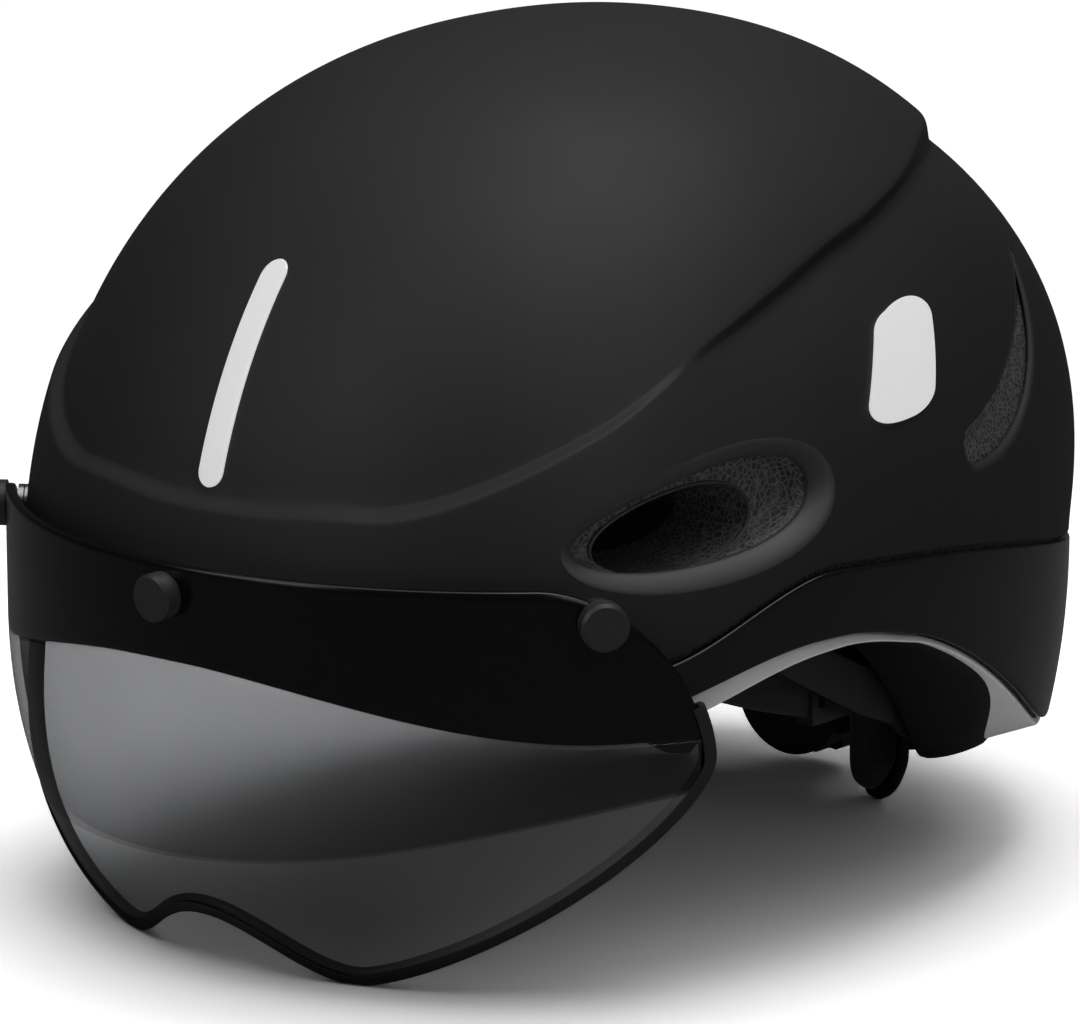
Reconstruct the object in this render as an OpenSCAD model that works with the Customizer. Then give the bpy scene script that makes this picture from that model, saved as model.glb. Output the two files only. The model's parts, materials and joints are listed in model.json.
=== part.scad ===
// Urban bicycle helmet with a magnetic wrap-round visor.
// +X is the wearer's left, +Y the back of the head, +Z up, and the table is at z = 0.
// The origin is on the table, under the middle of the helmet.
// Angles round the head run from 0 at the forehead through 90 at the left ear to 180 at the nape.

/* [Shell] */
// Half of the shell's width at its widest
shell_half_w = 109.5; // [104:0.5:114]
// Shell length ahead of its widest section
shell_front = 127; // [120:0.5:132]
// Shell length behind its widest section
shell_back = 138.9; // [132:0.1:146]
// Height of the widest section above the table
shell_mid_z = 80; // [76:0.5:84]
// Rise of the crown above the widest section
crown_rise = 125.5; // [119:0.5:132]
// Depth over which the shell would draw in to a point below its widest section
skirt_depth = 146; // [136:1:170]
// How far back the crown leans
crown_lean = 7; // [0:0.5:12]
// Squareness of the front half in plan
front_square = 2.38; // [2:0.02:2.8]
// Squareness of the rear half in plan
back_square = 2.15; // [2:0.02:2.6]
// Squareness of the shell seen from the side
side_square = 2.17; // [2:0.02:2.5]
// Thickness of the moulded outer shells
shell_wall = 1.6; // [1.2:0.1:2]

/* [Shell styling] */
// Height of the brow crease at the front
crease_front_z = 111.5; // [108:0.5:116]
// Climb of the crease from the brow to the back of the crown
crease_climb = 61; // [50:1:66]
// How far the brow stands out below the crease
brow_step = 3; // [1:0.1:4]
// How far the side panel lies in below the crease
panel_inset = 3.4; // [1:0.1:4.5]
// Swelling of the rear panel
tail_swell = 2.6; // [0:0.1:4]
// Height of the seam between the shell and the lower trim at the brow
seam_front_z = 77; // [75:0.5:80]
// Height of that seam over the ear
seam_ear_z = 93.4; // [90:0.5:98]
// Fall of that seam from the ear to the nape
seam_fall = 22; // [14:1:30]
// Width of the groove along the seam
seam_gap = 1; // [0.6:0.1:1.6]

/* [Lower edge] */
// Height of the trim's lower edge at the middle of the brow
edge_front_z = 71; // [68:0.5:73]
// Height of the trim's lower edge at the temple
edge_temple_z = 66; // [63:0.5:68]
// Height of the trim's lower edge over the ear
edge_ear_z = 76.8; // [74:0.5:80]
// Height of the trim's lower edge behind the ear
edge_back_z = 31; // [28:0.5:36]
// Height that the edge gains over the fit dial at the nape
nape_arch = 24; // [20:0.5:28]
// Thickness of the ring that closes the underside
base_wall = 2; // [1.4:0.1:2.6]
// How far the underside slopes down towards the head at the brow and ear
base_slope = 2; // [1:0.5:4]
// How far the underside slopes down towards the head behind the ear
base_slope_back = 10; // [6:0.5:12]

/* [Liner] */
// Thickness of shell and liner together at the sides
wall_side = 28.5; // [26:0.5:32]
// Thickness of shell and liner together at the brow
wall_front = 28; // [26:0.5:32]
// Thickness of shell and liner together at the nape
wall_back = 28.9; // [26:0.1:32]
// Thickness of shell and liner together at the crown
wall_crown = 28.5; // [26:0.5:34]
// Squareness of the head space in plan
head_square = 2.2; // [2:0.05:2.5]
// Clearance between a moulded shell and the foam behind it
skin_gap = 0.45; // [0.4:0.05:0.6]

/* [Side vent] */
// Distance ahead of the origin of the vent's narrow end
vent_front_y = 79; // [76:0.5:82]
// Height of the vent's narrow end
vent_front_z = 105; // [103:0.5:107]
// Radius of the vent's narrow end
vent_front_r = 11.5; // [10:0.5:13]
// Distance ahead of the origin of the vent's wide end
vent_back_y = 42; // [39:0.5:46]
// Height of the vent's wide end
vent_back_z = 111.3; // [109:0.5:113]
// Radius of the vent's wide end
vent_back_r = 15; // [13:0.5:16.5]
// Width of the bevel round the vent
vent_bevel = 4.3; // [3:0.1:5.5]
// Depth of the bevel
vent_depth = 7; // [5:0.5:9]
// Depth of the foam pocket inside the bevel
pocket_depth = 11; // [9:0.5:14]
// Radius of the narrow end of the air channel through the foam
duct_front_r = 6; // [5:0.25:7]
// Radius of the wide end of the air channel
duct_back_r = 8; // [7:0.25:9]
// Length of the air channel's mouth between its two end circles
duct_run = 15; // [12:0.5:18]

/* [Rear vent] */
// Distance behind the origin of the centre of the crescent's arc
crescent_y = 17.8; // [14:0.2:22]
// Height of the centre of the crescent's arc
crescent_z = 175.8; // [173:0.2:179]
// Radius of the crescent's middle line
crescent_r = 65; // [62:0.5:68]
// Width of the crescent at its middle
crescent_w = 12; // [9:0.5:14]
// Depth of the recess behind the crescent
crescent_depth = 3; // [2:0.25:4]

/* [Reflectors] */
// Width of the front stripe
stripe_w = 7.5; // [5:0.25:9]
// Height above the table of the stripe's lower end
stripe_low_z = 115.5; // [114.5:0.5:119]
// Height above the table of the stripe's upper end
stripe_high_z = 160; // [150:0.5:165]
// Thickness of the reflective film
film = 0.5; // [0.4:0.05:0.8]
// Angle round the head of the side reflector
side_film_at = 91; // [86:0.5:96]
// Half of the side reflector's angle round the head
side_film_half = 4.2; // [3:0.1:6]
// Height of the side reflector's lower end
side_film_low_z = 122; // [120:0.5:128]
// Height of the side reflector's upper end
side_film_high_z = 148; // [142:0.5:150]

/* [Visor] */
// How much larger the visor's radius is than half of the shell's width
visor_side_gap = 5; // [4:0.25:8]
// Extra radius at the sides
visor_flare = 3; // [1:0.25:5]
// Distance of the visor's outer face ahead of the brow
visor_brow_gap = 7.5; // [6.5:0.25:9]
// Thickness of the lens and of the band
lens_t = 2.4; // [2:0.1:2.8]
// How far the lens draws in from its straight part to the table
visor_taper = 19; // [14:0.5:22]
// Height at which the lens starts to draw in
visor_bend_z = 68; // [60:1:74]
// Height of the visor's top edge
visor_top_z = 97.5; // [95:0.5:99]
// Height of the visor's widest point at its sides
visor_side_z = 56; // [52:0.5:60]
// Angle round the axis to the visor's ends
visor_half_a = 65.5; // [62:0.5:67]
// Angle at which the top corner starts
corner_a = 45; // [40:0.5:50]
// Angle of the lowest point of each lobe
lobe_a = 21.5; // [18:0.5:25]
// Rise of the nose notch above the table
nose_z = 19.5; // [14:0.5:24]
// Height of the band's lower edge at the middle
band_mid_z = 75; // [72:0.5:78]
// Height of the band's lower edge at the sides
band_side_z = 62; // [60:0.5:64]
// Thickness of the soft edge trim
trim_t = 5; // [4.4:0.1:6]
// Width of the soft edge trim
trim_w = 4; // [3.4:0.1:5]
// Height at which the soft edge trim ends at the sides
trim_end_z = 70; // [66:0.5:74]

/* [Magnets] */
// Height of the magnets above the table
magnet_z = 90; // [88:0.5:91]
// Angle round the visor's axis of the two side magnets
magnet_a = 52; // [49:0.5:54]
// Radius of a magnet cap
cap_r = 5.5; // [4.5:0.25:6.5]
// Height of a magnet cap above the band
cap_h = 4.6; // [3:0.2:5.5]
// Radius of a magnet
magnet_r = 4.5; // [3.5:0.25:5]
// Thickness of a visor magnet
magnet_t = 1.4; // [1:0.1:1.6]

/* [Fit cradle] */
// Distance behind the origin of the arms' common axis
arm_axis_y = 23; // [21:0.5:25]
// Distance from the side of the head space in to the wings' outer faces
wing_gap = 7.5; // [6:0.5:9]
// Distance from the back of the head space in to the arms' curve round the nape
nape_gap = 14.5; // [13:0.5:16]
// Thickness of a wing
wing_t = 2.2; // [1.8:0.1:2.6]
// Angle from the nape to a wing's inner end
wing_in_a = 20.5; // [20:0.5:22]
// Angle from the nape to a wing's outer end
wing_out_a = 44; // [40:0.5:46]
// Height of a wing's top edge
wing_top_z = 44; // [40:0.5:46]
// Thickness of a wing's pad at its middle
wing_pad_t = 7; // [5:0.5:8]
// Travel of each arm as the dial turns
arm_travel = 5.5; // [3:0.25:5.5]
// Height of an arm's strip
strip_h = 12; // [10:0.5:12]
// Thickness of an arm's strip
strip_t = 1.6; // [1.2:0.1:1.8]
// Height of the dial's centre
dial_z = 21; // [20.5:0.25:22]
// Radius of the dial knob
knob_r = 18; // [16:0.25:18.5]
// Length of the dial knob along its axis
knob_l = 9; // [7:0.25:10]
// Number of finger scallops round the knob
scallops = 12; // [8:1:16]
// Radius of the dial housing
housing_r = 16.5; // [16:0.25:17]
// Distance of the housing's head side ahead of the fit rail's lower end
housing_lead = 4.93; // [4.2:0.01:5.6]
// Number of teeth on the pinion
pinion_teeth = 12; // [12:2:14]
// Tooth module of the pinion and the racks
tooth_module = 0.8; // [0.7:0.02:0.8]
// Width of the fit rail's head
rail_w = 11; // [9:0.5:12]
// Distance from the fit rail's curve back to its foot on the foam
rail_inset = 1.2; // [0.8:0.1:2]
// Angle below the temple pins of the fit rail's lower end
rail_low_a = 13; // [12:0.25:13.5]
// Angle below the temple pins of the slider's upper end
slider_top_a = 1.6; // [1:0.2:3]
// Angle below the temple pins of the slider's lower end
slider_low_a = 16.8; // [16:0.2:17.5]
// Running clearance of the slider and the arms
run_gap = 0.3; // [0.2:0.05:0.4]
// Distance ahead of the origin of the temple pins
temple_pin_y = 38; // [34:0.5:42]
// Height of the temple pins above the table
temple_pin_z = 84; // [82:0.5:86]
// Distance from the side of the head space in to the arms' eyes
eye_gap = 9; // [8:0.5:10]
// Radius of an arm's eye
eye_r = 6; // [5:0.5:7]
// Radius of a temple pin
pin_r = 2; // [1.6:0.1:2.4]
// Distance of a temple pin's head inside the arm's eye
pin_stand = 10; // [8.5:0.5:11]
// Depth of a temple pin in the foam
pin_hold = 4; // [3:0.5:6]
// Half of the height of an arm's rack
rack_half_h = 9; // [8.5:0.1:9.2]

/* [Straps] */
// Width of the webbing
web_w = 15; // [13:0.5:16]
// Thickness of the webbing
web_t = 1.5; // [1.2:0.1:1.8]
// Radius of the plugs that hold the webbing's ends in the foam
plug_r = 5; // [4:0.5:6]
// Thickness of a plug's rim
plug_rim = 1.6; // [1.2:0.1:2]
// Radius of a plug's pin
plug_pin_r = 2; // [1.6:0.1:2.5]
// Depth of a plug's pin in the foam
plug_hold = 8; // [6:0.5:12]
// Angle round the head of the front plugs
front_plug_a = 60.5; // [58:0.5:64]
// Height of the front plugs
front_plug_z = 73; // [71:0.5:75]
// Angle round the head of the rear plugs
rear_plug_a = 123.5; // [120:0.5:128]
// Height of the rear plugs
rear_plug_z = 59.5; // [57:0.5:62]

/* [Strap dividers] */
// Distance from the side of the head space in to a divider
divider_gap = 22; // [20:0.5:24]
// Distance behind the origin of a divider's front edge
divider_y = 20; // [16:0.5:24]
// Height of a divider's lower edge
divider_low_z = 38; // [34:0.5:42]
// Thickness of a divider
divider_t = 4.6; // [4:0.1:5.5]
// Length of a divider
divider_l = 22; // [20:0.5:26]
// Height of a divider
divider_h = 23; // [21:0.5:25]
// Height of each of the hinge ears
ear_h = 3; // [2:0.5:4]

/* [Buckle] */
// Distance from the back of the head space in to the middle of the buckle
buckle_gap = 19; // [17:0.5:21]
// Height of the middle of the buckle where it lies
buckle_z = 54; // [52:0.5:56]
// Height of the buckle
buckle_h = 16; // [14:0.5:18]
// Thickness of the buckle
buckle_t = 8; // [7:0.5:9]
// Length of the socket
socket_l = 20; // [18:0.5:24]
// Thickness of the socket's walls
socket_wall = 1.8; // [1.4:0.1:2.2]
// Length of the tongue's outer part
tongue_l = 15.7; // [14:0.1:18]
// Radius of the push button
button_r = 3; // [2.5:0.25:3.5]

/* [Pads] */
// Thickness of the comfort pads
pad_t = 6; // [4:0.5:7]
// Thickness of a pad at its sewn edge
pad_edge = 1.2; // [0.8:0.1:1.6]
// Half of the forehead pad's angle round the head
forehead_half_a = 52; // [48:1:54]
// Height of the forehead pad's lower edge
forehead_low_z = 79; // [77:0.5:81]
// Height of the forehead pad's upper edge
forehead_high_z = 101; // [97:0.5:103]
// Width of the middle crown pad
crown_pad_w = 26; // [22:1:30]
// Reach of the middle crown pad ahead of the origin
crown_pad_front = 42; // [36:1:46]
// Reach of the middle crown pad behind the origin
crown_pad_back = 44; // [38:1:48]
// Distance from the middle of the crown to a side pad
side_pad_x = 36; // [33:0.5:40]
// Width of a side pad
side_pad_w = 20; // [16:1:22]
// Reach of a side pad ahead of the origin
side_pad_front = 36; // [30:1:40]
// Reach of a side pad behind the origin
side_pad_back = 40; // [34:1:44]

/* [Hidden] */
$fn = 40;
// Columns of points round the shells
columns = 60;
// Distance behind the origin of the shell's widest section
shell_mid_y = 1;
// Depth over which the head space would draw in to a point
head_skirt = 160;
// Angles round the head where the crease starts to climb, and how far it climbs
crease_start_a = 20;
crease_span_a = 105;
crease_bias = 0.75;
// Width of the crease's sloping lip, as an angle up the shell
crease_lip = 1.6;
// Angles over which the brow's step fades, the side panel draws in and the tail swells
brow_fade = [38, 72];
panel_fade = [50, 85];
tail_fade = [105, 140];
// Angles round the head over which the lower edge and the seam change height
temple_a = 50;
ear_a = 78;
behind_a = 128;
nape_from_a = 150;
nape_to_a = 166;
// Shape numbers of the visor's upper and lower corners and of its draw-in
corner_shape = 1.8;
lobe_shape = 1.38;
taper_shape = 2.2;
// How far the lens stops short of the visor's outline, inside the trim
lens_inset = 2.45;
trim_floor = 1.3;
// Small gap between pieces that are bonded or seated face to face, and behind a soft pad
seat = 0.15;
pad_seat = 0.9;
film_seat = 0.25;
// How far the lower trim stands proud of the shell
trim_proud = 0.3;
// Length by which a cutter passes the surface that it cuts
beyond = 20;

// Forms are half width, front length, back length, rise, skirt depth,
// squareness of the front, back and side view, and lean.
shell_form = [shell_half_w, shell_front, shell_back, crown_rise, skirt_depth,
  front_square, back_square, side_square, crown_lean];
head_form = [shell_half_w - wall_side, shell_front - wall_front, shell_back - wall_back,
  crown_rise - wall_crown, head_skirt, head_square, head_square, side_square, 0];

// Helper functions
function signed_pow(v, p) = sign(v) * pow(abs(v), p);
function mix(a, b, t) = a + (b - a) * t;
function ease(a, a0, a1) = let(t = min(1, max(0, (a - a0) / (a1 - a0)))) t * t * (3 - 2 * t);
// The same angle on the left and right of the head
function fold(a) = let(b = abs(a) % 360) b <= 180 ? b : 360 - b;
function unit(v) = v / norm(v);

// A point on a form, at an angle round the head, a tilt above its widest section, and an offset
function on_form(s, a, t, off) =
  let(front = cos(a) > 0, n = front ? s[5] : s[6], run = (front ? s[1] : s[2]) + off,
    c = signed_pow(cos(t), 2 / s[7]), h = signed_pow(sin(t), 2 / s[7]))
  [(s[0] + off) * signed_pow(sin(a), 2 / n) * c,
    shell_mid_y - run * signed_pow(cos(a), 2 / n) * c + s[8] * abs(h),
    shell_mid_z + ((h > 0 ? s[3] : s[4]) + off) * h];
// The tilt at which a form reaches a height
function tilt(s, z) =
  asin(signed_pow((z - shell_mid_z) / (z > shell_mid_z ? s[3] : s[4]), s[7] / 2));
// How far a form has drawn in at a height, and how far up its rise that height is
function rise_at(s, z) = (z - shell_mid_z) / (z > shell_mid_z ? s[3] : s[4]);
function draw_in(s, z) = pow(1 - pow(abs(rise_at(s, z)), s[7]), 1 / s[7]);

// Heights of the lines that run round the helmet
function crease_z(a) = crease_front_z + crease_climb * (0.5 - 0.5 * cos(180
  * pow(min(1, max(0, (fold(a) - crease_start_a) / crease_span_a)), crease_bias)));
function seam_z(a) = seam_front_z + (seam_ear_z - seam_front_z) * ease(fold(a), temple_a + 4, ear_a + 2)
  - seam_fall * ease(fold(a), ear_a - 4, nape_from_a);
function edge_z(a) = let(f = fold(a)) edge_front_z
  + (edge_temple_z - edge_front_z) * ease(f, 0, temple_a)
  + (edge_ear_z - edge_temple_z) * ease(f, temple_a, ear_a)
  - (edge_ear_z - edge_back_z) * ease(f, ear_a + 2, behind_a)
  + nape_arch * ease(f, nape_from_a, nape_to_a);
function base_z(a) = let(f = fold(a)) edge_z(a) - base_slope
  - (base_slope_back - base_slope) * (ease(f, ear_a + 7, behind_a - 8) - ease(f, nape_from_a, nape_to_a));

// Offset of the lower shell from the plain form, from 0 at the seam to 1 at the crease
function panel_off(a, u) = let(f = fold(a)) brow_step * (1 - ease(f, brow_fade[0], brow_fade[1]))
  - panel_inset * ease(f, panel_fade[0], panel_fade[1]) * u * u
  + tail_swell * ease(f, tail_fade[0], tail_fade[1]) * sin(180 * u);
function panel_u(a, z) = min(1, max(0, (z - seam_z(a)) / (crease_z(a) - seam_z(a))));
function panel_pt(a, z, off) =
  on_form(shell_form, a, tilt(shell_form, z), panel_off(a, panel_u(a, z)) + off);

// Rings of points round the shells
function round_the_head() = [for (i = [0 : columns - 1]) 360 * i / columns];
function trim_ring(v, off) = [for (a = round_the_head())
  panel_pt(a, mix(edge_z(a), seam_z(a) - seam_gap / 2, v), off)];
function side_ring(u, off) = [for (a = round_the_head())
  panel_pt(a, mix(seam_z(a) + seam_gap / 2, crease_z(a), u), off)];
function crown_ring(v, off) = [for (a = round_the_head())
  on_form(shell_form, a, mix(tilt(shell_form, crease_z(a)) + crease_lip, 90, v), off)];
function head_ring(v, off) = [for (a = round_the_head())
  on_form(head_form, a, mix(tilt(head_form, base_z(a) + base_wall), 90, v), off)];
function crown_tip(s, off) = [0, shell_mid_y + s[8], shell_mid_z + s[3] + off];
side_steps = [0, 0.35, 0.65, 0.88, 1];
crown_steps = [0, 0.1, 0.24, 0.4, 0.56, 0.72, 0.87];
head_steps = [0.9, 0.79, 0.67, 0.54, 0.41, 0.27, 0.13, 0];
function shell_rings(off) = concat([for (u = side_steps) side_ring(u, off)],
  [for (v = crown_steps) crown_ring(v, off)]);
function reversed(list) = [for (i = [len(list) - 1 : -1 : 0]) list[i]];

// Mesh builders
// A wall closed at both ends by a tip, such as a dome with an inner and an outer skin
module domed_wall(rings, first_tip, last_tip) {
  n = len(rings[0]);
  m = len(rings);
  last = n * m + 1;
  polyhedron(
    points = concat([first_tip], [for (r = rings) each r], [last_tip]),
    faces = concat(
      [for (i = [0 : n - 1]) [0, 1 + i, 1 + (i + 1) % n]],
      [for (k = [0 : m - 2], i = [0 : n - 1])
        let(p = 1 + k * n + i, q = 1 + k * n + (i + 1) % n) each [[p, p + n, q + n], [p, q + n, q]]],
      [for (i = [0 : n - 1]) [last, 1 + (m - 1) * n + (i + 1) % n, 1 + (m - 1) * n + i]]));
}
// A closed hoop, from its rings in order round its section
module hoop(rings) {
  n = len(rings[0]);
  m = len(rings);
  polyhedron(
    points = [for (r = rings) each r],
    faces = [for (k = [0 : m - 1], i = [0 : n - 1])
      let(next = (i + 1) % n, up = ((k + 1) % m) * n,
        p = k * n + i, q = k * n + next, pu = up + i, qu = up + next)
        each [[p, pu, q], [q, pu, qu]]]);
}
// An open run of sections, each a closed loop of points, capped at both ends
module sweep(sections) {
  m = len(sections[0]);
  n = len(sections);
  polyhedron(
    points = [for (s = sections) each s],
    faces = concat(
      [[for (k = [m - 1 : -1 : 0]) k]],
      [[for (k = [0 : m - 1]) (n - 1) * m + k]],
      [for (j = [0 : n - 2], k = [0 : m - 1])
        let(p = j * m + k, q = j * m + (k + 1) % m) each [[p, q, q + m], [p, q + m, p + m]]]));
}
// An upright ribbon along a path
module ribbon(path, height, thick) {
  last = len(path) - 1;
  sweep([for (i = [0 : last])
    let(d = path[min(last, i + 1)] - path[max(0, i - 1)], side = unit([d[1], -d[0], 0]) * thick / 2,
      up = [0, 0, height / 2], p = path[i])
      [p + side - up, p + side + up, p - side + up, p - side - up]]);
}
// One skin for a freeform wall and the cuts in it
module one_skin() {
  resize([0, 0, 0]) children();
}
module both_sides() {
  children();
  mirror([1, 0, 0]) children();
}
module right_hand() {
  mirror([1, 0, 0]) children();
}
// Turns a shape drawn on the side view, with its depth along +Z, to face the left
module facing_left() {
  rotate([90, 0, 90]) children();
}
// Stands a shape on the visor's axis, pointing out at an angle and a height
module from_visor_axis(a, z, r) {
  translate([0, -visor_axis_y, z]) rotate([90, 0, a]) translate([0, 0, r]) children();
}

// Vent outlines on the side view, as points behind the origin and above the table
function egg(front_r, back_r, back_y, n) =
  let(c1 = [-vent_front_y, vent_front_z], full = [vent_front_y - vent_back_y, vent_back_z - vent_front_z],
    c2 = c1 + full * (vent_front_y + back_y) / full[0],
    dir = atan2(full[1], full[0]), al = acos((front_r - back_r) / norm(c2 - c1)))
  concat(
    [for (i = [0 : n - 1]) let(b = dir + al + (360 - 2 * al) * i / (n - 1)) c1 + front_r * [cos(b), sin(b)]],
    [for (i = [0 : n - 1]) let(b = dir - al + 2 * al * i / (n - 1)) c2 + back_r * [cos(b), sin(b)]]);
egg_points = 14;
vent_outline = egg(vent_front_r, vent_back_r, -vent_back_y, egg_points);
pocket_outline = egg(vent_front_r - vent_bevel, vent_back_r - vent_bevel, -vent_back_y, egg_points);
duct_outline = egg(duct_front_r, duct_back_r, -vent_front_y + duct_run, egg_points);
vent_middle = [-(vent_front_y + vent_back_y) / 2, (vent_front_z + vent_back_z) / 2];

crescent_from = -84;
crescent_to = -25;
crescent_steps = 14;
function crescent_half(t) = crescent_w / 2 * pow(sin(mix(34, 174, t)), 0.8);
function crescent_at(t, side) =
  let(b = mix(crescent_from, crescent_to, t), r = crescent_r + side * crescent_half(t))
  [crescent_y + r * cos(b), crescent_z + r * sin(b)];
crescent_outline = concat(
  [for (i = [0 : crescent_steps]) crescent_at(i / crescent_steps, 1)],
  [for (i = [crescent_steps : -1 : 0]) crescent_at(i / crescent_steps, -1)]);

// Where the left side of the shell lies at a point of the side view
function side_a(y, z) =
  let(s = shell_form, c = draw_in(s, z), d = shell_mid_y + s[8] * abs(rise_at(s, z)) - y,
    front = d > 0, v = abs(d) / ((front ? s[1] : s[2]) * c),
    b = acos(min(1, pow(v, (front ? s[5] : s[6]) / 2)))) front ? b : 180 - b;
function side_pt(p, off) = [panel_pt(side_a(p[0], p[1]), p[1], off)[0], p[0], p[1]];

// Visor
visor_r = shell_half_w + visor_side_gap;
visor_axis_y = shell_front + brow_step - shell_mid_y + visor_brow_gap - visor_r;
function visor_reach(a, z, off) = visor_r + visor_flare * sin(a) * sin(a)
  - visor_taper * pow(max(0, visor_bend_z - z) / visor_bend_z, taper_shape) + off;
function visor_pt(a, z, off) = let(r = visor_reach(a, z, off)) [r * sin(a), -visor_axis_y - r * cos(a), z];
// An inset along the visor, as an angle
function as_angle(d) = d / visor_r * 180 / PI;
function visor_top(a, inset) =
  let(u = max(0, abs(a) - corner_a) / (visor_half_a - as_angle(inset) - corner_a))
  visor_side_z + (visor_top_z - visor_side_z) * pow(max(0, 1 - pow(u, corner_shape)), 1 / corner_shape);
function visor_low(a, inset) = let(half = visor_half_a - as_angle(inset), f = abs(a),
    u = min(1, max(0, f - lobe_a) / (half - lobe_a)))
  f < lobe_a ? inset + nose_z * (0.5 + 0.5 * cos(180 * f / lobe_a))
    : mix(inset, visor_side_z, 1 - pow(1 - pow(u, lobe_shape), 1 / lobe_shape));
function band_low(a) = mix(band_side_z, band_mid_z, 0.5 + 0.5 * cos(180 * min(1, abs(a) / 54)));
visor_columns = 32;
visor_end = visor_half_a - as_angle(lens_inset) - 0.8;
// Columns lie closer together towards the visor's ends
function visor_column(i) = visor_end * sin(90 * (2 * i / visor_columns - 1));
// One column of a visor sheet between two heights, outer face up and inner face down
function sheet_section(a, z0, z1, rows) = concat(
  [for (k = [0 : rows]) visor_pt(a, mix(z0, z1, k / rows), 0)],
  [for (k = [rows : -1 : 0]) visor_pt(a, mix(z0, z1, k / rows), -lens_t)]);

// The visor's outline from the trim's left end down, across the nose and up to its right end
side_part = 16;
nose_part = 10;
end_part = 4;
function outline_side(k) = let(q = 90 * k)
  [lobe_a + (visor_half_a - lobe_a) * pow(sin(q), 2 / lobe_shape),
    visor_side_z * (1 - pow(cos(q), 2 / lobe_shape))];
trim_end_q = asin(pow((trim_end_z - visor_side_z) / (visor_top_z - visor_side_z), corner_shape / 2));
function outline_end(k) = let(q = trim_end_q * k)
  [corner_a + (visor_half_a - corner_a) * pow(cos(q), 2 / corner_shape),
    visor_side_z + (visor_top_z - visor_side_z) * pow(sin(q), 2 / corner_shape)];
half_outline = concat(
  [for (i = [end_part : -1 : 1]) outline_end(i / end_part)],
  [for (i = [side_part : -1 : 1]) outline_side(i / side_part)],
  [for (i = [nose_part : -1 : 1]) let(a = lobe_a * i / nose_part) [a, visor_low(a, 0)]]);
visor_outline = concat(half_outline, [[0, visor_low(0, 0)]],
  [for (p = reversed(half_outline)) [-p[0], p[1]]]);
function trim_section(i) =
  let(last = len(visor_outline) - 1, p = visor_outline[i],
    at = visor_pt(p[0], p[1], -lens_t / 2),
    p0 = visor_outline[max(0, i - 1)], p1 = visor_outline[min(last, i + 1)],
    run = unit(visor_pt(p1[0], p1[1], 0) - visor_pt(p0[0], p0[1], 0)),
    across = visor_pt(p[0] + 1, p[1], 0) - visor_pt(p[0] - 1, p[1], 0),
    up = visor_pt(p[0], p[1] + 1, 0) - visor_pt(p[0], p[1] - 1, 0),
    out = unit(cross(across, up)), in = unit(cross(out, run)) * -1,
    h = trim_t / 2, s = lens_t / 2 + 2 * seat)
  [for (q = [[-h, 0], [-h, trim_w], [-s, trim_w], [-s, trim_floor],
             [s, trim_floor], [s, trim_w], [h, trim_w], [h, 0]])
    let(v = at + q[0] * out + q[1] * in) [v[0], v[1], max(0, v[2])]];

// Places inside the head space, as gaps from its side and its back
head_half_w = head_form[0];
head_back_y = shell_mid_y + head_form[2];
function beside(gap, y, z) = [head_half_w - gap, y, z];
// Where the side of the head space lies at a point of the side view
function head_side_x(y, z) = let(s = head_form, c = draw_in(s, z),
    v = abs(y - shell_mid_y) / ((y < shell_mid_y ? s[1] : s[2]) * c))
  s[0] * c * pow(1 - pow(v, s[5]), 1 / s[5]);

// Temple pins and the arms' curve, from the nape at 0 towards the temples, with an offset outwards
eye_x = head_half_w - eye_gap;
temple_pin_at = [eye_x - pin_stand, -temple_pin_y, temple_pin_z];
side_r = head_half_w - wing_gap;
nape_r = head_back_y - nape_gap - arm_axis_y;
function nape_pt(a, off, z) = [(side_r + off) * sin(a), arm_axis_y + (nape_r + off) * cos(a), z];

// Fit rail, bent round the temple pins: head, neck and foot, from the head side to the liner
rail_plate = 1.6;
rail_neck = 2.4;
rail_neck_w = 5;
rail_foot_w = 16;
rail_foot_t = 8;
rail_foot_y = head_back_y - 1.6;
rail_r = rail_foot_y + temple_pin_y - rail_plate - rail_neck - rail_inset;
rail_high_z = temple_pin_z + 10;
slider_wall = 2;
slider_lip = 1.5;
slider_r = rail_r - run_gap - slider_wall;
stop_half_a = 1.3;

// Dial housing, gear and rack sizes
pinion_pitch_r = tooth_module * pinion_teeth / 2;
tooth_pitch = PI * tooth_module;
tooth_head = tooth_module;
tooth_foot = 1.25 * tooth_module;
housing_y = rail_r * cos(slider_low_a) - temple_pin_y - housing_lead;
housing_wall = 1.8;
rack_y = housing_y + housing_wall + 0.5;
rack_step = strip_t + 0.6;
hollow_l = 2 * strip_t + 0.6 + 1;
housing_l = hollow_l + 2 * housing_wall;
knob_y = housing_y + housing_l + 0.6;
spindle_r = 2.4;
pivot_r = 1.5;
bridge_w = 14;
bridge_lap = 2;
rack_end_x = 21;
rack_shoulder_x = 16;
slot_low = pinion_pitch_r + tooth_head + 0.6;

// Arm route from the housing round the nape, then forward to the temple
strip_out = seat + strip_t / 2;
arm_climb = 19;
arm_climb_a = [30, 84];
function arm_route(y) = concat(
  [[rack_end_x - 1, y, dial_z], [rack_end_x + 1, y - 0.4, dial_z], [rack_end_x + 4, y - 1.6, dial_z]],
  [for (a = [22, 27, 33, 39, 45, 51, 57, 64, 71])
    nape_pt(a, strip_out, dial_z + arm_climb * ease(a, arm_climb_a[0], arm_climb_a[1]))],
  [beside(7.4, 37, 43), beside(6.2, 24, 48), beside(6, 10, 55), beside(6.4, -5, 63), beside(7.4, -18, 71.5)],
  [beside(8.7, 9 - temple_pin_y, temple_pin_z - 5), beside(eye_gap, 3 - temple_pin_y, temple_pin_z - 1.2)]);

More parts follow.
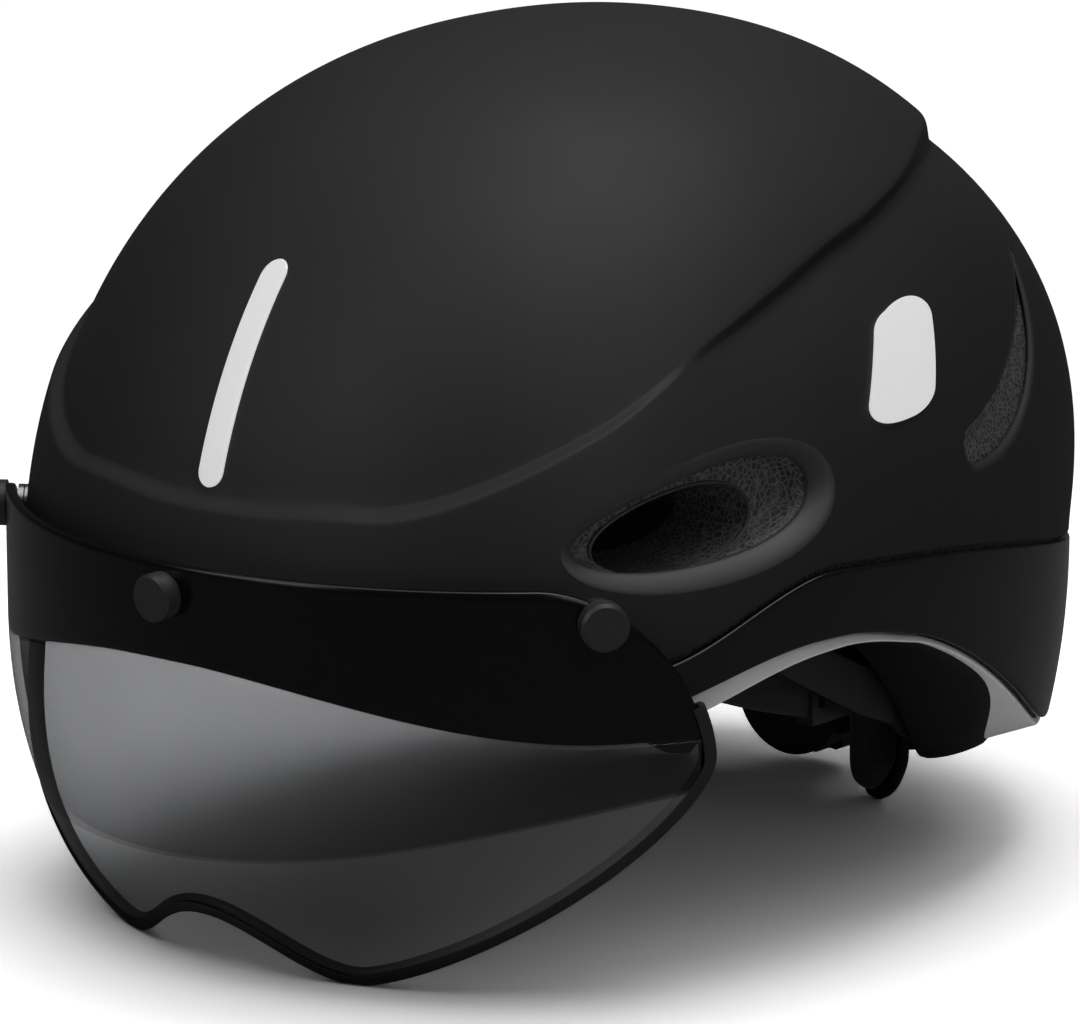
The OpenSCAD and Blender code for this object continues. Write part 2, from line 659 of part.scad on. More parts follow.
// Webbing routes on the left side, the last from the divider, 0, to the buckle, 1
front_web_route = [beside(18.1, -59.3, 74.2), beside(16.4, -56.1, 73), beside(16.1, -50, 70.2),
  beside(16.2, -40, 66.2), beside(16.4, -29, 62.2), beside(16.2, -18, 58.5), beside(16, -5, 54),
  beside(17, 8, 50), beside(19.4, 19.7, 46.5)];
rear_web_route = [beside(18.4, 42.3, 50), beside(16.8, 47, 52), beside(14.8, 53, 55),
  beside(14.1, 57.6, 57.5), beside(15, 61.1, 59.3), beside(16.9, 65.2, 61)];
buckle_y = head_back_y - buckle_gap;
socket_x = 2;
tongue_x = socket_x + run_gap;
chin_web_from = [head_half_w - 20.8, divider_y + 22.4, buckle_z - 1];
chin_web_to = [tongue_x + tongue_l + 0.4, buckle_y - 0.6, buckle_z];
function chin_web_pt(across, back) = [mix(chin_web_from[0], chin_web_to[0], across),
  mix(chin_web_from[1], chin_web_to[1], back), mix(chin_web_from[2], chin_web_to[2], min(1, 9 * back))];
chin_web_route = [chin_web_pt(0, 0), chin_web_pt(0.03, 0.114), chin_web_pt(0.1, 0.298),
  chin_web_pt(0.22, 0.482), chin_web_pt(0.4, 0.676), chin_web_pt(0.603, 0.839),
  chin_web_pt(0.806, 0.943), chin_web_pt(1, 1)];

// Strap divider sizes: the hinge's place on it and the slots for the webbing
lever_pin = [-1.8, divider_l - 0.8];
lever_pin_r = 0.75;
lever_eye_r = 1.5;
lever_t = 1.8;
slot_w = 2.2;
slot_inset = 2.5;
slot_margin = 4;

// Buckle sizes
button_x = -6;
button_stand = 1.2;
blade_x = -11;

// Heights of a wing's edges, from 0 at its inner end to 1 at its outer end
wing_dip = 4;
wing_fall = 13;
wing_toe = 17;
wing_floor = 1.9;
wing_heel = 9;
wing_pad_foot = 2.6;
wing_pad_head = 1.6;
wing_columns = 12;
function wing_high(w) = wing_top_z - wing_dip * (1 - w) * (1 - w) - wing_fall * w * w * w;
function wing_low(w) = max(0, wing_toe * w * w - wing_floor + wing_heel * pow(max(0, 1 - w / 0.25), 2));
function wing_a(w) = mix(wing_in_a, wing_out_a, w);

// Sub-parts of the helmet
module outer_shell() {
  color([0.13, 0.13, 0.13]) one_skin() difference() {
    domed_wall(concat(reversed(shell_rings(-shell_wall)), shell_rings(0)),
      crown_tip(shell_form, -shell_wall), crown_tip(shell_form, 0));
    both_sides() facing_left() {
      linear_extrude(shell_half_w + beyond) polygon(vent_outline);
      linear_extrude(shell_half_w + beyond) polygon(crescent_outline);
    }
    magnet_pockets();
  }
}

module lower_trim() {
  color([0.06, 0.06, 0.06]) hoop(concat(
    [for (v = [0, 0.5, 1]) trim_ring(v, trim_proud)],
    [for (v = [1, 0.5, 0]) trim_ring(v, -shell_wall)]));
}

module base_ring() {
  out_low = [for (a = round_the_head()) panel_pt(a, edge_z(a) - base_wall, -0.9)];
  out_high = [for (a = round_the_head()) panel_pt(a, edge_z(a) - 0.4, -shell_wall - skin_gap)];
  in_high = [for (a = round_the_head())
    on_form(head_form, a, tilt(head_form, base_z(a) + base_wall - 0.4), 0)];
  in_low = [for (a = round_the_head()) on_form(head_form, a, tilt(head_form, base_z(a)), 0)];
  color([0.62, 0.62, 0.63]) hoop([out_low, out_high, in_high, in_low]);
}

// A cutter that follows the shell's surface down to a depth, with the vent's outline
module vent_cutter(outline, deep, high) {
  domed_wall([[for (p = outline) side_pt(p, -deep)], [for (p = outline) side_pt(p, high)]],
    side_pt(vent_middle, -deep), side_pt(vent_middle, high));
}
module crescent_cutter() {
  sweep([for (i = [0 : crescent_steps])
    let(t = i / crescent_steps, p = crescent_at(t, 1.15), q = crescent_at(t, -1.15))
      [side_pt(p, -shell_wall - crescent_depth), side_pt(p, 4),
       side_pt(q, 4), side_pt(q, -shell_wall - crescent_depth)]]);
}
module eps_liner() {
  off = -shell_wall - skin_gap;
  color([0.2, 0.2, 0.2]) one_skin() difference() {
    domed_wall(concat([for (v = head_steps) head_ring(v, 0)],
        [trim_ring(0, off), trim_ring(0.5, off)], shell_rings(off)),
      crown_tip(head_form, 0), crown_tip(shell_form, off));
    both_sides() {
      vent_cutter(vent_outline, pocket_depth, 6);
      crescent_cutter();
      facing_left() linear_extrude(shell_half_w) polygon(duct_outline);
      foam_holes();
    }
  }
}

// Bevelled cup between the shell's vent and the foam pocket
module vent_cup() {
  lip = 1.3;
  rim = egg(vent_front_r - seat, vent_back_r - seat, -vent_back_y, egg_points);
  color([0.17, 0.17, 0.17]) hoop([
    [for (p = rim) side_pt(p, -shell_wall - 1)],
    [for (p = rim) side_pt(p, -0.4)],
    [for (p = pocket_outline) side_pt(p, -vent_depth)],
    [for (p = pocket_outline) side_pt(p, -vent_depth - lip)]]);
}
module vent_cup_left() { vent_cup(); }
module vent_cup_right() { right_hand() vent_cup(); }

function front_pt(x, z, off) = let(s = shell_form, c = draw_in(s, z), v = abs(x) / (s[0] * c))
  [x, shell_mid_y - (s[1] + off) * c * pow(1 - pow(v, s[5]), 1 / s[5]) + s[8] * abs(rise_at(s, z)), z];
// Half of a bar's width along its length, with round ends
function bar_half(d, length, width) = let(r = width / 2, e = max(0, abs(d) - (length / 2 - r)))
  sqrt(max(0.04, r * r - e * e));
bar_steps = 14;
module front_stripe() {
  length = stripe_high_z - stripe_low_z;
  color([0.85, 0.85, 0.85]) sweep([for (i = [0 : bar_steps])
    let(d = -length / 2 * cos(180 * i / bar_steps), z = stripe_low_z + length / 2 + d,
      w = bar_half(d, length, stripe_w))
      [front_pt(w, z, seat), front_pt(w, z, seat + film),
       front_pt(-w, z, seat + film), front_pt(-w, z, seat)]]);
}
module side_film() {
  length = side_film_high_z - side_film_low_z;
  color([0.85, 0.85, 0.85]) sweep([for (i = [0 : bar_steps])
    let(d = -length / 2 * cos(180 * i / bar_steps), z = side_film_low_z + length / 2 + d,
      w = side_film_half * bar_half(d, length, 11) / 5.5, mid = side_film_at + 0.2 * d)
      [panel_pt(mid + w, z, film_seat), panel_pt(mid + w, z, film_seat + film),
        panel_pt(mid - w, z, film_seat + film), panel_pt(mid - w, z, film_seat)]]);
}
module side_film_left() { side_film(); }
module side_film_right() { right_hand() side_film(); }

// Is a point inside the shell's brow, and how far out from the visor's axis is its surface
function inside_brow(p) = let(s = shell_form, c = draw_in(s, p[2]),
    a = atan2(abs(p[0]), shell_mid_y - p[1]), off = brow_step * (1 - ease(a, brow_fade[0], brow_fade[1])))
  pow(abs(p[0]) / ((s[0] + off) * c), s[5]) + pow((shell_mid_y - p[1]) / ((s[1] + off) * c), s[5]) < 1;
function brow_reach(a, lo, hi, tries) = let(m = (lo + hi) / 2)
  tries == 0 ? m
    : inside_brow([m * sin(a), -visor_axis_y - m * cos(a), magnet_z])
      ? brow_reach(a, m, hi, tries - 1) : brow_reach(a, lo, m, tries - 1);
// The three magnets, bonded into shallow pockets at the brow and at both temples
magnet_angles = [-magnet_a, 0, magnet_a];
magnet_sink = 1;
function magnet_floor(a) = brow_reach(a, 80, 120, 14) - magnet_sink;
module magnet_pockets() {
  for (a = magnet_angles)
    from_visor_axis(a, magnet_z, magnet_floor(a) - seat) cylinder(h = 10, r = magnet_r + seat);
}
module shell_magnets() {
  for (a = magnet_angles) {
    low = magnet_floor(a);
    high = visor_reach(a, magnet_z, -lens_t) - 2 * seat - magnet_t - run_gap;
    color([0.45, 0.45, 0.47]) from_visor_axis(a, magnet_z, low) cylinder(h = high - low, r = magnet_r);
  }
}

// Comfort pads: crowned, drawn in at their sides, with sewn channels across them
function pad_crown(v, w) = pow(1 - pow(abs(2 * v - 1), 4), 0.5) * pow(1 - pow(abs(2 * w - 1), 6), 0.5);
function channel(v, at) = 1 - 0.45 * exp(-pow((v - at) / 0.025, 2));
pad_rows = 6;
// A pad on the head side of the liner between two angles and two heights
module wall_pad(a0, a1, z0, z1, steps, channels) {
  sweep([for (i = [0 : steps])
    let(v = i / steps, a = mix(a0, a1, v), ends = mix(0.62, 1, pow(1 - pow(abs(2 * v - 1), 4), 0.5)),
      thin = min([for (c = channels) channel(v, c)]), mid = (z0 + z1) / 2, half = (z1 - z0) / 2 * ends)
      concat([for (k = [0 : pad_rows]) pad_pt(a, mid + half * (2 * k / pad_rows - 1), -pad_seat)],
        [for (k = [pad_rows : -1 : 0])
          pad_pt(a, mid + half * (2 * k / pad_rows - 1),
            -pad_seat - pad_edge - (pad_t - pad_edge) * thin * pad_crown(v, k / pad_rows))])]);
}
function pad_pt(a, z, off) = on_form(head_form, a, tilt(head_form, z), off);
module forehead_pad() {
  color([0.1, 0.1, 0.1])
    wall_pad(-forehead_half_a, forehead_half_a, forehead_low_z, forehead_high_z, 28, [0.3, 0.7]);
}
// A pad under the crown, along Y at a distance from the middle
function roof_z(x, y, off) =
  let(s = head_form, run = y < shell_mid_y ? s[1] : s[2],
    out = pow(pow(abs(x) / s[0], s[5]) + pow(abs(y - shell_mid_y) / run, s[5]), 1 / s[5]))
    shell_mid_z + (s[3] + off) * pow(1 - pow(out, s[7]), 1 / s[7]);
module roof_pad(x, width, y0, y1, steps, channels) {
  sweep([for (i = [0 : steps])
    let(v = i / steps, y = mix(y0, y1, v), ends = mix(0.6, 1, pow(1 - pow(abs(2 * v - 1), 4), 0.5)),
      thin = min([for (c = channels) channel(v, c)]), half = width / 2 * ends)
      concat([for (k = [0 : pad_rows]) let(px = x - half * (2 * k / pad_rows - 1))
          [px, y, roof_z(px, y, -pad_seat)]],
        [for (k = [pad_rows : -1 : 0]) let(px = x - half * (2 * k / pad_rows - 1))
          [px, y, roof_z(px, y, -pad_seat)
            - pad_edge - (pad_t - pad_edge) * thin * pad_crown(v, k / pad_rows)]])]);
}
module crown_pad() {
  color([0.1, 0.1, 0.1]) roof_pad(0, crown_pad_w, -crown_pad_front, crown_pad_back, 18, [0.5]);
}
module crown_side_pad() {
  color([0.1, 0.1, 0.1]) roof_pad(side_pad_x, side_pad_w, -side_pad_front, side_pad_back, 16, [0.5]);
}
module crown_side_pad_left() { crown_side_pad(); }
module crown_side_pad_right() { right_hand() crown_side_pad(); }

// Turns a section, radius along X and width along Y, round the temple pins' axis,
// from one angle below the pins to a larger one
module round_pins(a0, a1) {
  translate([0, temple_pin_at[1], temple_pin_at[2]]) rotate([0, 90, 0]) rotate([0, 0, 90 - a1])
    rotate_extrude(angle = a1 - a0, $fn = 360) children();
}
module band_section(r0, r1, width) {
  translate([r0, -width / 2]) square([r1 - r0, width]);
}
// Fit rail on the liner, with the stop that the slider rests against
module height_rail() {
  neck_r = rail_r + rail_plate;
  foot_r = neck_r + rail_neck;
  high_a = -asin((rail_high_z - temple_pin_at[2]) / foot_r);
  low_z = temple_pin_at[2] - rail_r * sin(rail_low_a);
  color([0.09, 0.09, 0.09]) union() {
    round_pins(high_a, rail_low_a) band_section(rail_r, neck_r, rail_w);
    round_pins(high_a, rail_low_a) band_section(neck_r - 0.1, foot_r + 0.6, rail_neck_w);
    round_pins(slider_top_a - 0.2 - 2 * stop_half_a, slider_top_a - 0.2)
      band_section(slider_r, foot_r + 0.6, rail_w + 2 * slider_wall);
    difference() {
      translate([-rail_foot_w / 2, rail_foot_y - rail_foot_t, low_z])
        cube([rail_foot_w, rail_foot_t, rail_high_z - low_z]);
      translate([0, temple_pin_at[1], temple_pin_at[2]]) rotate([0, 90, 0])
        cylinder(h = rail_foot_w + 2, r = foot_r, center = true, $fn = 360);
    }
  }
}

// Headed pin at each temple that an arm's eye slides on, with a collar at the foam
module temple_pin() {
  wall_x = head_side_x(-temple_pin_y, temple_pin_z);
  collar_x = eye_x + 1.2;
  color([0.09, 0.09, 0.09]) translate(temple_pin_at) rotate([0, 90, 0]) union() {
    cylinder(h = wall_x + pin_hold - temple_pin_at[0], r = pin_r);
    cylinder(h = 1.5, r = 4);
    translate([0, 0, collar_x - temple_pin_at[0]]) cylinder(h = 1.4, r = 3.4);
  }
}
module temple_pin_left() { temple_pin(); }
module temple_pin_right() { right_hand() temple_pin(); }

// Plugs in the foam that hold the webbing's ends, square to the liner's wall
function wall_out(a, z) = let(d = on_form(head_form, a + 1, tilt(head_form, z), 0)
  - on_form(head_form, a - 1, tilt(head_form, z), 0)) unit([d[1], -d[0], 0]);
module at_wall(a, z, off) {
  p = on_form(head_form, a, tilt(head_form, z), 0);
  out = wall_out(a, z);
  translate(p + off * out) rotate([0, 90, atan2(out[1], out[0])]) children();
}
module strap_plug(a, z) {
  at_wall(a, z, -plug_rim - 0.9) {
    cylinder(h = plug_rim, r = plug_r);
    cylinder(h = plug_rim + plug_hold, r = plug_pin_r);
  }
}
module strap_plugs() {
  color([0.09, 0.09, 0.09]) both_sides() {
    strap_plug(front_plug_a, front_plug_z);
    strap_plug(rear_plug_a, rear_plug_z);
  }
}
// Holes in the foam for the plugs and the temple pins
module foam_holes() {
  at_wall(front_plug_a, front_plug_z, -2) cylinder(h = plug_hold + 2.6, r = plug_pin_r + seat);
  at_wall(rear_plug_a, rear_plug_z, -2) cylinder(h = plug_hold + 2.6, r = plug_pin_r + seat);
  translate(temple_pin_at) rotate([0, 90, 0])
    cylinder(h = head_side_x(-temple_pin_y, temple_pin_z) + pin_hold + 0.6 - temple_pin_at[0],
      r = pin_r + seat);
}
module front_webbing() {
  color([0.07, 0.07, 0.07]) ribbon(front_web_route, web_w - 2, web_t);
}
module rear_webbing() {
  color([0.07, 0.07, 0.07]) ribbon(rear_web_route, web_w - 2, web_t);
}
module chin_webbing() {
  color([0.07, 0.07, 0.07]) ribbon(chin_web_route, web_w, web_t);
}
module front_webbing_left() { front_webbing(); }
module front_webbing_right() { right_hand() front_webbing(); }
module rear_webbing_left() { rear_webbing(); }
module rear_webbing_right() { right_hand() rear_webbing(); }
module chin_webbing_left() { chin_webbing(); }
module chin_webbing_right() { right_hand() chin_webbing(); }

// Strap divider with a locking lever on its head side
module at_divider() {
  translate([head_half_w - divider_gap, divider_y, divider_low_z]) children();
}
module at_lever_pin(z) {
  translate([lever_pin[0], lever_pin[1], z]) children();
}
module divider() {
  color([0.08, 0.08, 0.08]) at_divider() difference() {
    union() {
      cube([divider_t, divider_l, divider_h]);
      for (z = [3, divider_h - 3 - ear_h])
        at_lever_pin(z) {
          cylinder(h = ear_h, r = lever_eye_r + 0.2);
          translate([0, -lever_eye_r - 0.2, 0]) cube([2.4, 2.5, ear_h]);
        }
    }
    at_lever_pin(0) cylinder(h = divider_h, r = lever_pin_r + 0.05);
    for (y = [slot_inset, divider_l - slot_inset - slot_w])
      translate([2, y, slot_margin]) cube([divider_t, slot_w, divider_h - 2 * slot_margin]);
  }
}
module divider_pin() {
  color([0.6, 0.6, 0.62]) at_divider() at_lever_pin(3.2) cylinder(h = divider_h - 6.4, r = lever_pin_r);
}
module divider_lever() {
  low = 3 + ear_h + run_gap;
  wide = divider_h - 2 * low;
  arm_l = lever_pin[1] - 2;
  color([0.08, 0.08, 0.08]) at_divider() difference() {
    at_lever_pin(low) {
      cylinder(h = wide, r = lever_eye_r);
      translate([-1.2, -arm_l, 0]) cube([lever_t, arm_l, wide]);
      translate([-2.2, -arm_l, 0]) cube([1.6, 3, wide]);
    }
    at_lever_pin(low - 1) cylinder(h = wide + 2, r = lever_pin_r + 0.05);
  }
}
module divider_left() { divider(); }
module divider_right() { right_hand() divider(); }
module divider_pin_left() { divider_pin(); }
module divider_pin_right() { right_hand() divider_pin(); }
module divider_lever_left() { divider_lever(); }
module divider_lever_right() { right_hand() divider_lever(); }

// Chin buckle, closed: a tongue in a socket, held by a push button
module buckle_block(x, length, wall) {
  translate([x, buckle_y - buckle_t / 2 + wall, buckle_z - buckle_h / 2 + wall])
    cube([length, buckle_t - 2 * wall, buckle_h - 2 * wall]);
}
module across_buckle(from, length, r) {
  translate([button_x, buckle_y + from, buckle_z]) rotate([-90, 0, 0]) cylinder(h = length, r = r);
}
module buckle_socket() {
  color([0.08, 0.08, 0.08]) difference() {
    buckle_block(socket_x - socket_l, socket_l, 0);
    buckle_block(blade_x - 1, socket_l, socket_wall);
    across_buckle(-buckle_t, buckle_t, button_r + 0.1);
  }
}
module buckle_tongue() {
  color([0.08, 0.08, 0.08]) difference() {
    union() {
      buckle_block(tongue_x, tongue_l, 0);
      buckle_block(blade_x, tongue_x + 2 - blade_x, socket_wall + run_gap);
    }
    across_buckle(-buckle_t, 2 * buckle_t, button_r + 0.5);
  }
}
module buckle_button() {
  color([0.5, 0.08, 0.06])
    across_buckle(-buckle_t / 2 - button_stand, button_stand + socket_wall + 1, button_r);
}

// Sub-parts of the visor
module visor_band() {
  color([0.16, 0.16, 0.16]) sweep([for (i = [0 : visor_columns])
    let(a = visor_column(i)) sheet_section(a, band_low(a), visor_top(a, lens_inset), 3)]);
}
module visor_lens() {
  color([0.3, 0.3, 0.32, 0.6]) sweep([for (i = [0 : visor_columns])
    let(a = visor_column(i)) sheet_section(a, visor_low(a, lens_inset), band_low(a) - seat, 7)]);
}
module visor_trim() {
  color([0.07, 0.07, 0.07]) sweep([for (i = [0 : len(visor_outline) - 1]) trim_section(i)]);
}
module magnet_cap(a) {
  color([0.2, 0.2, 0.2]) from_visor_axis(a, magnet_z, visor_reach(a, magnet_z, 0) + seat) union() {
    cylinder(h = cap_h - 0.8, r = cap_r);
    translate([0, 0, cap_h - 0.8]) cylinder(h = 0.8 - seat, r1 = cap_r, r2 = cap_r - 0.8);
  }
}
module magnet_cap_left() { magnet_cap(magnet_a); }
module magnet_cap_middle() { magnet_cap(0); }
module magnet_cap_right() { magnet_cap(-magnet_a); }
module visor_magnets() {
  for (a = magnet_angles)
    color([0.5, 0.5, 0.52])
      from_visor_axis(a, magnet_z, visor_reach(a, magnet_z, -lens_t) - 2 * seat - magnet_t)
        cylinder(h = magnet_t, r = magnet_r);
}

// Sub-parts of the fit cradle
module along_dial(y) {
  translate([0, y, dial_z]) rotate([-90, 0, 0]) children();
}
module cradle_yoke() {
  bridge_y = housing_y + housing_l - housing_wall;
  bridge_z = dial_z + housing_r - 4;
  bridge_h = temple_pin_z - slider_r * sin(slider_low_a) + bridge_lap - bridge_z;
  slider_w = rail_w + 2 * (run_gap + slider_wall);
  back_r = rail_r + rail_plate + run_gap + slider_lip;
  color([0.08, 0.08, 0.08]) difference() {
    union() {
      along_dial(housing_y + housing_wall) cylinder(h = housing_l - housing_wall, r = housing_r);
      translate([-bridge_w / 2, bridge_y - 2, bridge_z]) cube([bridge_w, housing_wall + 2, bridge_h]);
      round_pins(slider_top_a, slider_low_a) band_section(slider_r, back_r, slider_w);
    }
    translate([-housing_r - 1, housing_y, dial_z - rack_half_h - 0.5])
      cube([2 * housing_r + 2, housing_wall + hollow_l, 2 * rack_half_h + 1]);
    along_dial(housing_y) cylinder(h = housing_l + 1, r = spindle_r + 0.06);
    round_pins(slider_top_a - 1, slider_low_a - 2.2)
      band_section(rail_r - run_gap, rail_r + rail_plate + run_gap, rail_w + 2 * run_gap);
    round_pins(slider_top_a - 1, slider_low_a - 2.2)
      band_section(rail_r, back_r + 1, rail_neck_w + 2 * run_gap);
  }
}
module housing_cover() {
  color([0.1, 0.1, 0.1]) difference() {
    along_dial(housing_y) cylinder(h = housing_wall, r = housing_r);
    along_dial(housing_y + 0.8) cylinder(h = housing_wall, r = pivot_r + 0.06);
  }
}
// The fit dial: knob, and pinion with its spindle
module dial_knob() {
  color([0.09, 0.09, 0.09]) along_dial(knob_y) difference() {
    union() {
      cylinder(h = 1, r1 = knob_r - 1, r2 = knob_r);
      translate([0, 0, 1]) cylinder(h = knob_l - 2.5, r = knob_r);
      translate([0, 0, knob_l - 1.5]) cylinder(h = 1.5, r1 = knob_r, r2 = knob_r - 1.5);
    }
    for (i = [0 : scallops - 1]) rotate(360 * (i + 0.5) / scallops)
      translate([knob_r + 2.4, 0, -1]) cylinder(h = knob_l + 2, r = 4.2);
    translate([0, 0, -1]) cylinder(h = knob_l - 1, r = spindle_r + 0.04);
    translate([0, 0, knob_l - 0.8]) cylinder(h = 2, r = knob_r - 7);
  }
}
// A pinion outline with straight-sided teeth, one of them pointing up
function pinion_outline() = [for (i = [0 : pinion_teeth - 1])
  let(b = 90 + 360 * i / pinion_teeth, step = 360 / pinion_teeth,
    foot_r = pinion_pitch_r - tooth_foot, tip_r = pinion_pitch_r + tooth_head)
  for (q = [[foot_r, -0.31], [tip_r, -0.115], [tip_r, 0.115], [foot_r, 0.31]])
    q[0] * [cos(b + q[1] * step), sin(b + q[1] * step)]];
module dial_pinion() {
  front = rack_y - 0.3;
  length = rack_step + strip_t + 0.6;
  color([0.55, 0.55, 0.56]) union() {
    along_dial(front) linear_extrude(length) polygon(pinion_outline());
    along_dial(housing_y + 0.9) cylinder(h = front - housing_y, r = pivot_r);
    along_dial(front) cylinder(h = knob_y + knob_l - 3 - front, r = spindle_r);
  }
}

// Arms: a toothed end in the housing, a strip along the head, and an eye on the temple pin
function rack_tooth(x) = let(root = 1.125 * tooth_module, tip = 0.4 * tooth_module)
  [[x + root, pinion_pitch_r + tooth_foot], [x + tip, pinion_pitch_r - tooth_head],
    [x - tip, pinion_pitch_r - tooth_head], [x - root, pinion_pitch_r + tooth_foot]];
rack_slot = concat(
  [[-slot_low, -slot_low], [slot_low + arm_travel, -slot_low],
   [slot_low + arm_travel, pinion_pitch_r + tooth_foot]],
  [for (k = [3 : -1 : -2]) each rack_tooth((k + 0.5) * tooth_pitch)],
  [[-slot_low, pinion_pitch_r + tooth_foot]]);
module rack() {
  rotate([90, 0, 0]) linear_extrude(strip_t, center = true) difference() {
    polygon([[-slot_low - 2.2, -rack_half_h], [rack_shoulder_x, -rack_half_h], [rack_end_x, -strip_h / 2],
      [rack_end_x, strip_h / 2], [rack_shoulder_x, rack_half_h], [-slot_low - 2.2, rack_half_h]]);
    polygon(rack_slot);
  }
}
module arm(y) {
  ribbon(arm_route(y), strip_h, strip_t);
  translate([eye_x - 0.9, temple_pin_at[1], temple_pin_at[2]])
    rotate([0, 90, 0]) cylinder(h = 1.8, r = eye_r);
}
module eye_hole() {
  translate([eye_x - 5, temple_pin_at[1], temple_pin_at[2]])
    rotate([0, 90, 0]) cylinder(h = 10, r = pin_r + 0.25);
}
module arm_left() {
  y = rack_y + strip_t / 2;
  color([0.1, 0.1, 0.1]) one_skin() difference() {
    union() {
      arm(y);
      translate([0, y, dial_z]) rack();
    }
    eye_hole();
  }
}
module arm_right() {
  y = rack_y + rack_step + strip_t / 2;
  color([0.1, 0.1, 0.1]) one_skin() difference() {
    union() {
      right_hand() arm(y);
      translate([0, y, dial_z]) rotate([0, 180, 0]) rack();
    }
    right_hand() eye_hole();
  }
}
module wing() {
  color([0.06, 0.06, 0.06]) sweep([for (i = [0 : wing_columns])
    let(w = i / wing_columns, a = wing_a(w), lo = wing_low(w), hi = wing_high(w))
      [nape_pt(a, -wing_t, lo), nape_pt(a, -wing_t, hi), nape_pt(a, 0, hi), nape_pt(a, 0, lo)]]);
}
pad_columns = 18;
module wing_pad() {
  back = -wing_t - seat;
  color([0.12, 0.12, 0.12]) one_skin() sweep([for (i = [0 : pad_columns])
    let(v = i / pad_columns, w = mix(0.05, 0.93, v), a = wing_a(w),
      lo = wing_low(w) + wing_pad_foot, hi = wing_high(w) - wing_pad_head)
      concat(
        [for (k = [0 : pad_rows]) let(q = k / pad_rows)
          nape_pt(a, back - pad_edge - (wing_pad_t - pad_edge) * pad_crown(v, q), mix(lo, hi, q))],
        [for (k = [pad_rows : -1 : 0]) nape_pt(a, back, mix(lo, hi, k / pad_rows))])]);
}
module wing_left() { wing(); }
module wing_right() { right_hand() wing(); }
module wing_pad_left() { wing_pad(); }
module wing_pad_right() { right_hand() wing_pad(); }

outer_shell();
lower_trim();
base_ring();
eps_liner();
vent_cup_left();
vent_cup_right();
front_stripe();
side_film_left();
side_film_right();
shell_magnets();
forehead_pad();
crown_pad();
crown_side_pad_left();
crown_side_pad_right();
height_rail();
temple_pin_left();
temple_pin_right();
strap_plugs();
front_webbing_left();
front_webbing_right();
rear_webbing_left();
rear_webbing_right();
chin_webbing_left();
chin_webbing_right();
divider_left();
divider_right();
divider_pin_left();
divider_pin_right();
divider_lever_left();
divider_lever_right();
buckle_socket();
buckle_tongue();
buckle_button();
visor_band();
visor_lens();
visor_trim();
magnet_cap_left();
magnet_cap_middle();
magnet_cap_right();
visor_magnets();
cradle_yoke();
housing_cover();
dial_knob();
dial_pinion();
arm_left();
arm_right();
wing_left();
wing_right();
wing_pad_left();
wing_pad_right();
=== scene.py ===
# %% [markdown]
# # A bicycle helmet with a smoke visor
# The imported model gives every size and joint. This script gives it its looks: smooth moulded skins,
# a see-through visor, foam with a bead texture, sewn pads and woven straps, lit as in a studio.

# %% Load the frame
import bpy
import bmesh
import json
import math
import numpy as np
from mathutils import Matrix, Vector


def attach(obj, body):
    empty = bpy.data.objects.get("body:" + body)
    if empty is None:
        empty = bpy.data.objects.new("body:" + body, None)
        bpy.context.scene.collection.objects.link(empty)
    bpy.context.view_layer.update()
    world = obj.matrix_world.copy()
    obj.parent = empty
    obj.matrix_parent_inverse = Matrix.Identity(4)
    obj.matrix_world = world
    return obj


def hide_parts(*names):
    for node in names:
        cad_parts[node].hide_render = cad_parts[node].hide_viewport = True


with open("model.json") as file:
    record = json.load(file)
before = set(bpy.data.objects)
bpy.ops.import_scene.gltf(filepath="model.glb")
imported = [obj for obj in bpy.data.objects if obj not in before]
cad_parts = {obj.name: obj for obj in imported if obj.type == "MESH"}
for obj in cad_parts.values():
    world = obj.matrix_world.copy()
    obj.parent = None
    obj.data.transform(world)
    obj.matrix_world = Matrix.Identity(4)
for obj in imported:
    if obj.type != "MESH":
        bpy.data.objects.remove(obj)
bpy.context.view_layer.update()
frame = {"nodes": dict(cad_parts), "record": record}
NODES = frame["nodes"]

# %% [markdown]
# The camera stands where the photograph was taken from: 40 degrees round from the front towards the
# wearer's left, 13 degrees up, with a long lens, so the near and the far side are drawn almost alike.

# %% Camera
AZ, EL, DIST = math.radians(40.0), math.radians(13.16), 1.4475
TARGET = Vector((-0.003157, -0.001649, 0.084447))
BACK = Vector((math.sin(AZ) * math.cos(EL), -math.cos(AZ) * math.cos(EL), math.sin(EL)))
SENSOR_MM, LENS_MM, NEAREST = 36.0, 200.14, 0.05
scene = bpy.context.scene


def stand(name, data):
    """A new object in the scene."""
    ob = bpy.data.objects.new(name, data)
    scene.collection.objects.link(ob)
    return ob


cam_data = bpy.data.cameras.new("camera")
cam_data.sensor_width, cam_data.lens, cam_data.clip_start = SENSOR_MM, LENS_MM, NEAREST
scene.camera = cam = stand("camera", cam_data)
cam.location = TARGET + BACK * DIST
cam.rotation_euler = BACK.to_track_quat("Z", "Y").to_euler()
scene.render.resolution_x, scene.render.resolution_y = 1080, 1024
print("camera at", [round(v, 3) for v in cam.location])

# %% [markdown]
# The moulded skins of a helmet all follow one form: a squared-off oval that grows from the widest
# section to the crown above and draws in below. It could be sculpted, but then each stripe, vent and
# seam would have to be fitted to it by eye. A formula is better here, because it gives the point for any
# angle round the head and any height, and a second set of sizes gives the space for the head. Sizes are
# in millimetres, as a designer would sketch them, and turn into metres when a mesh is made.

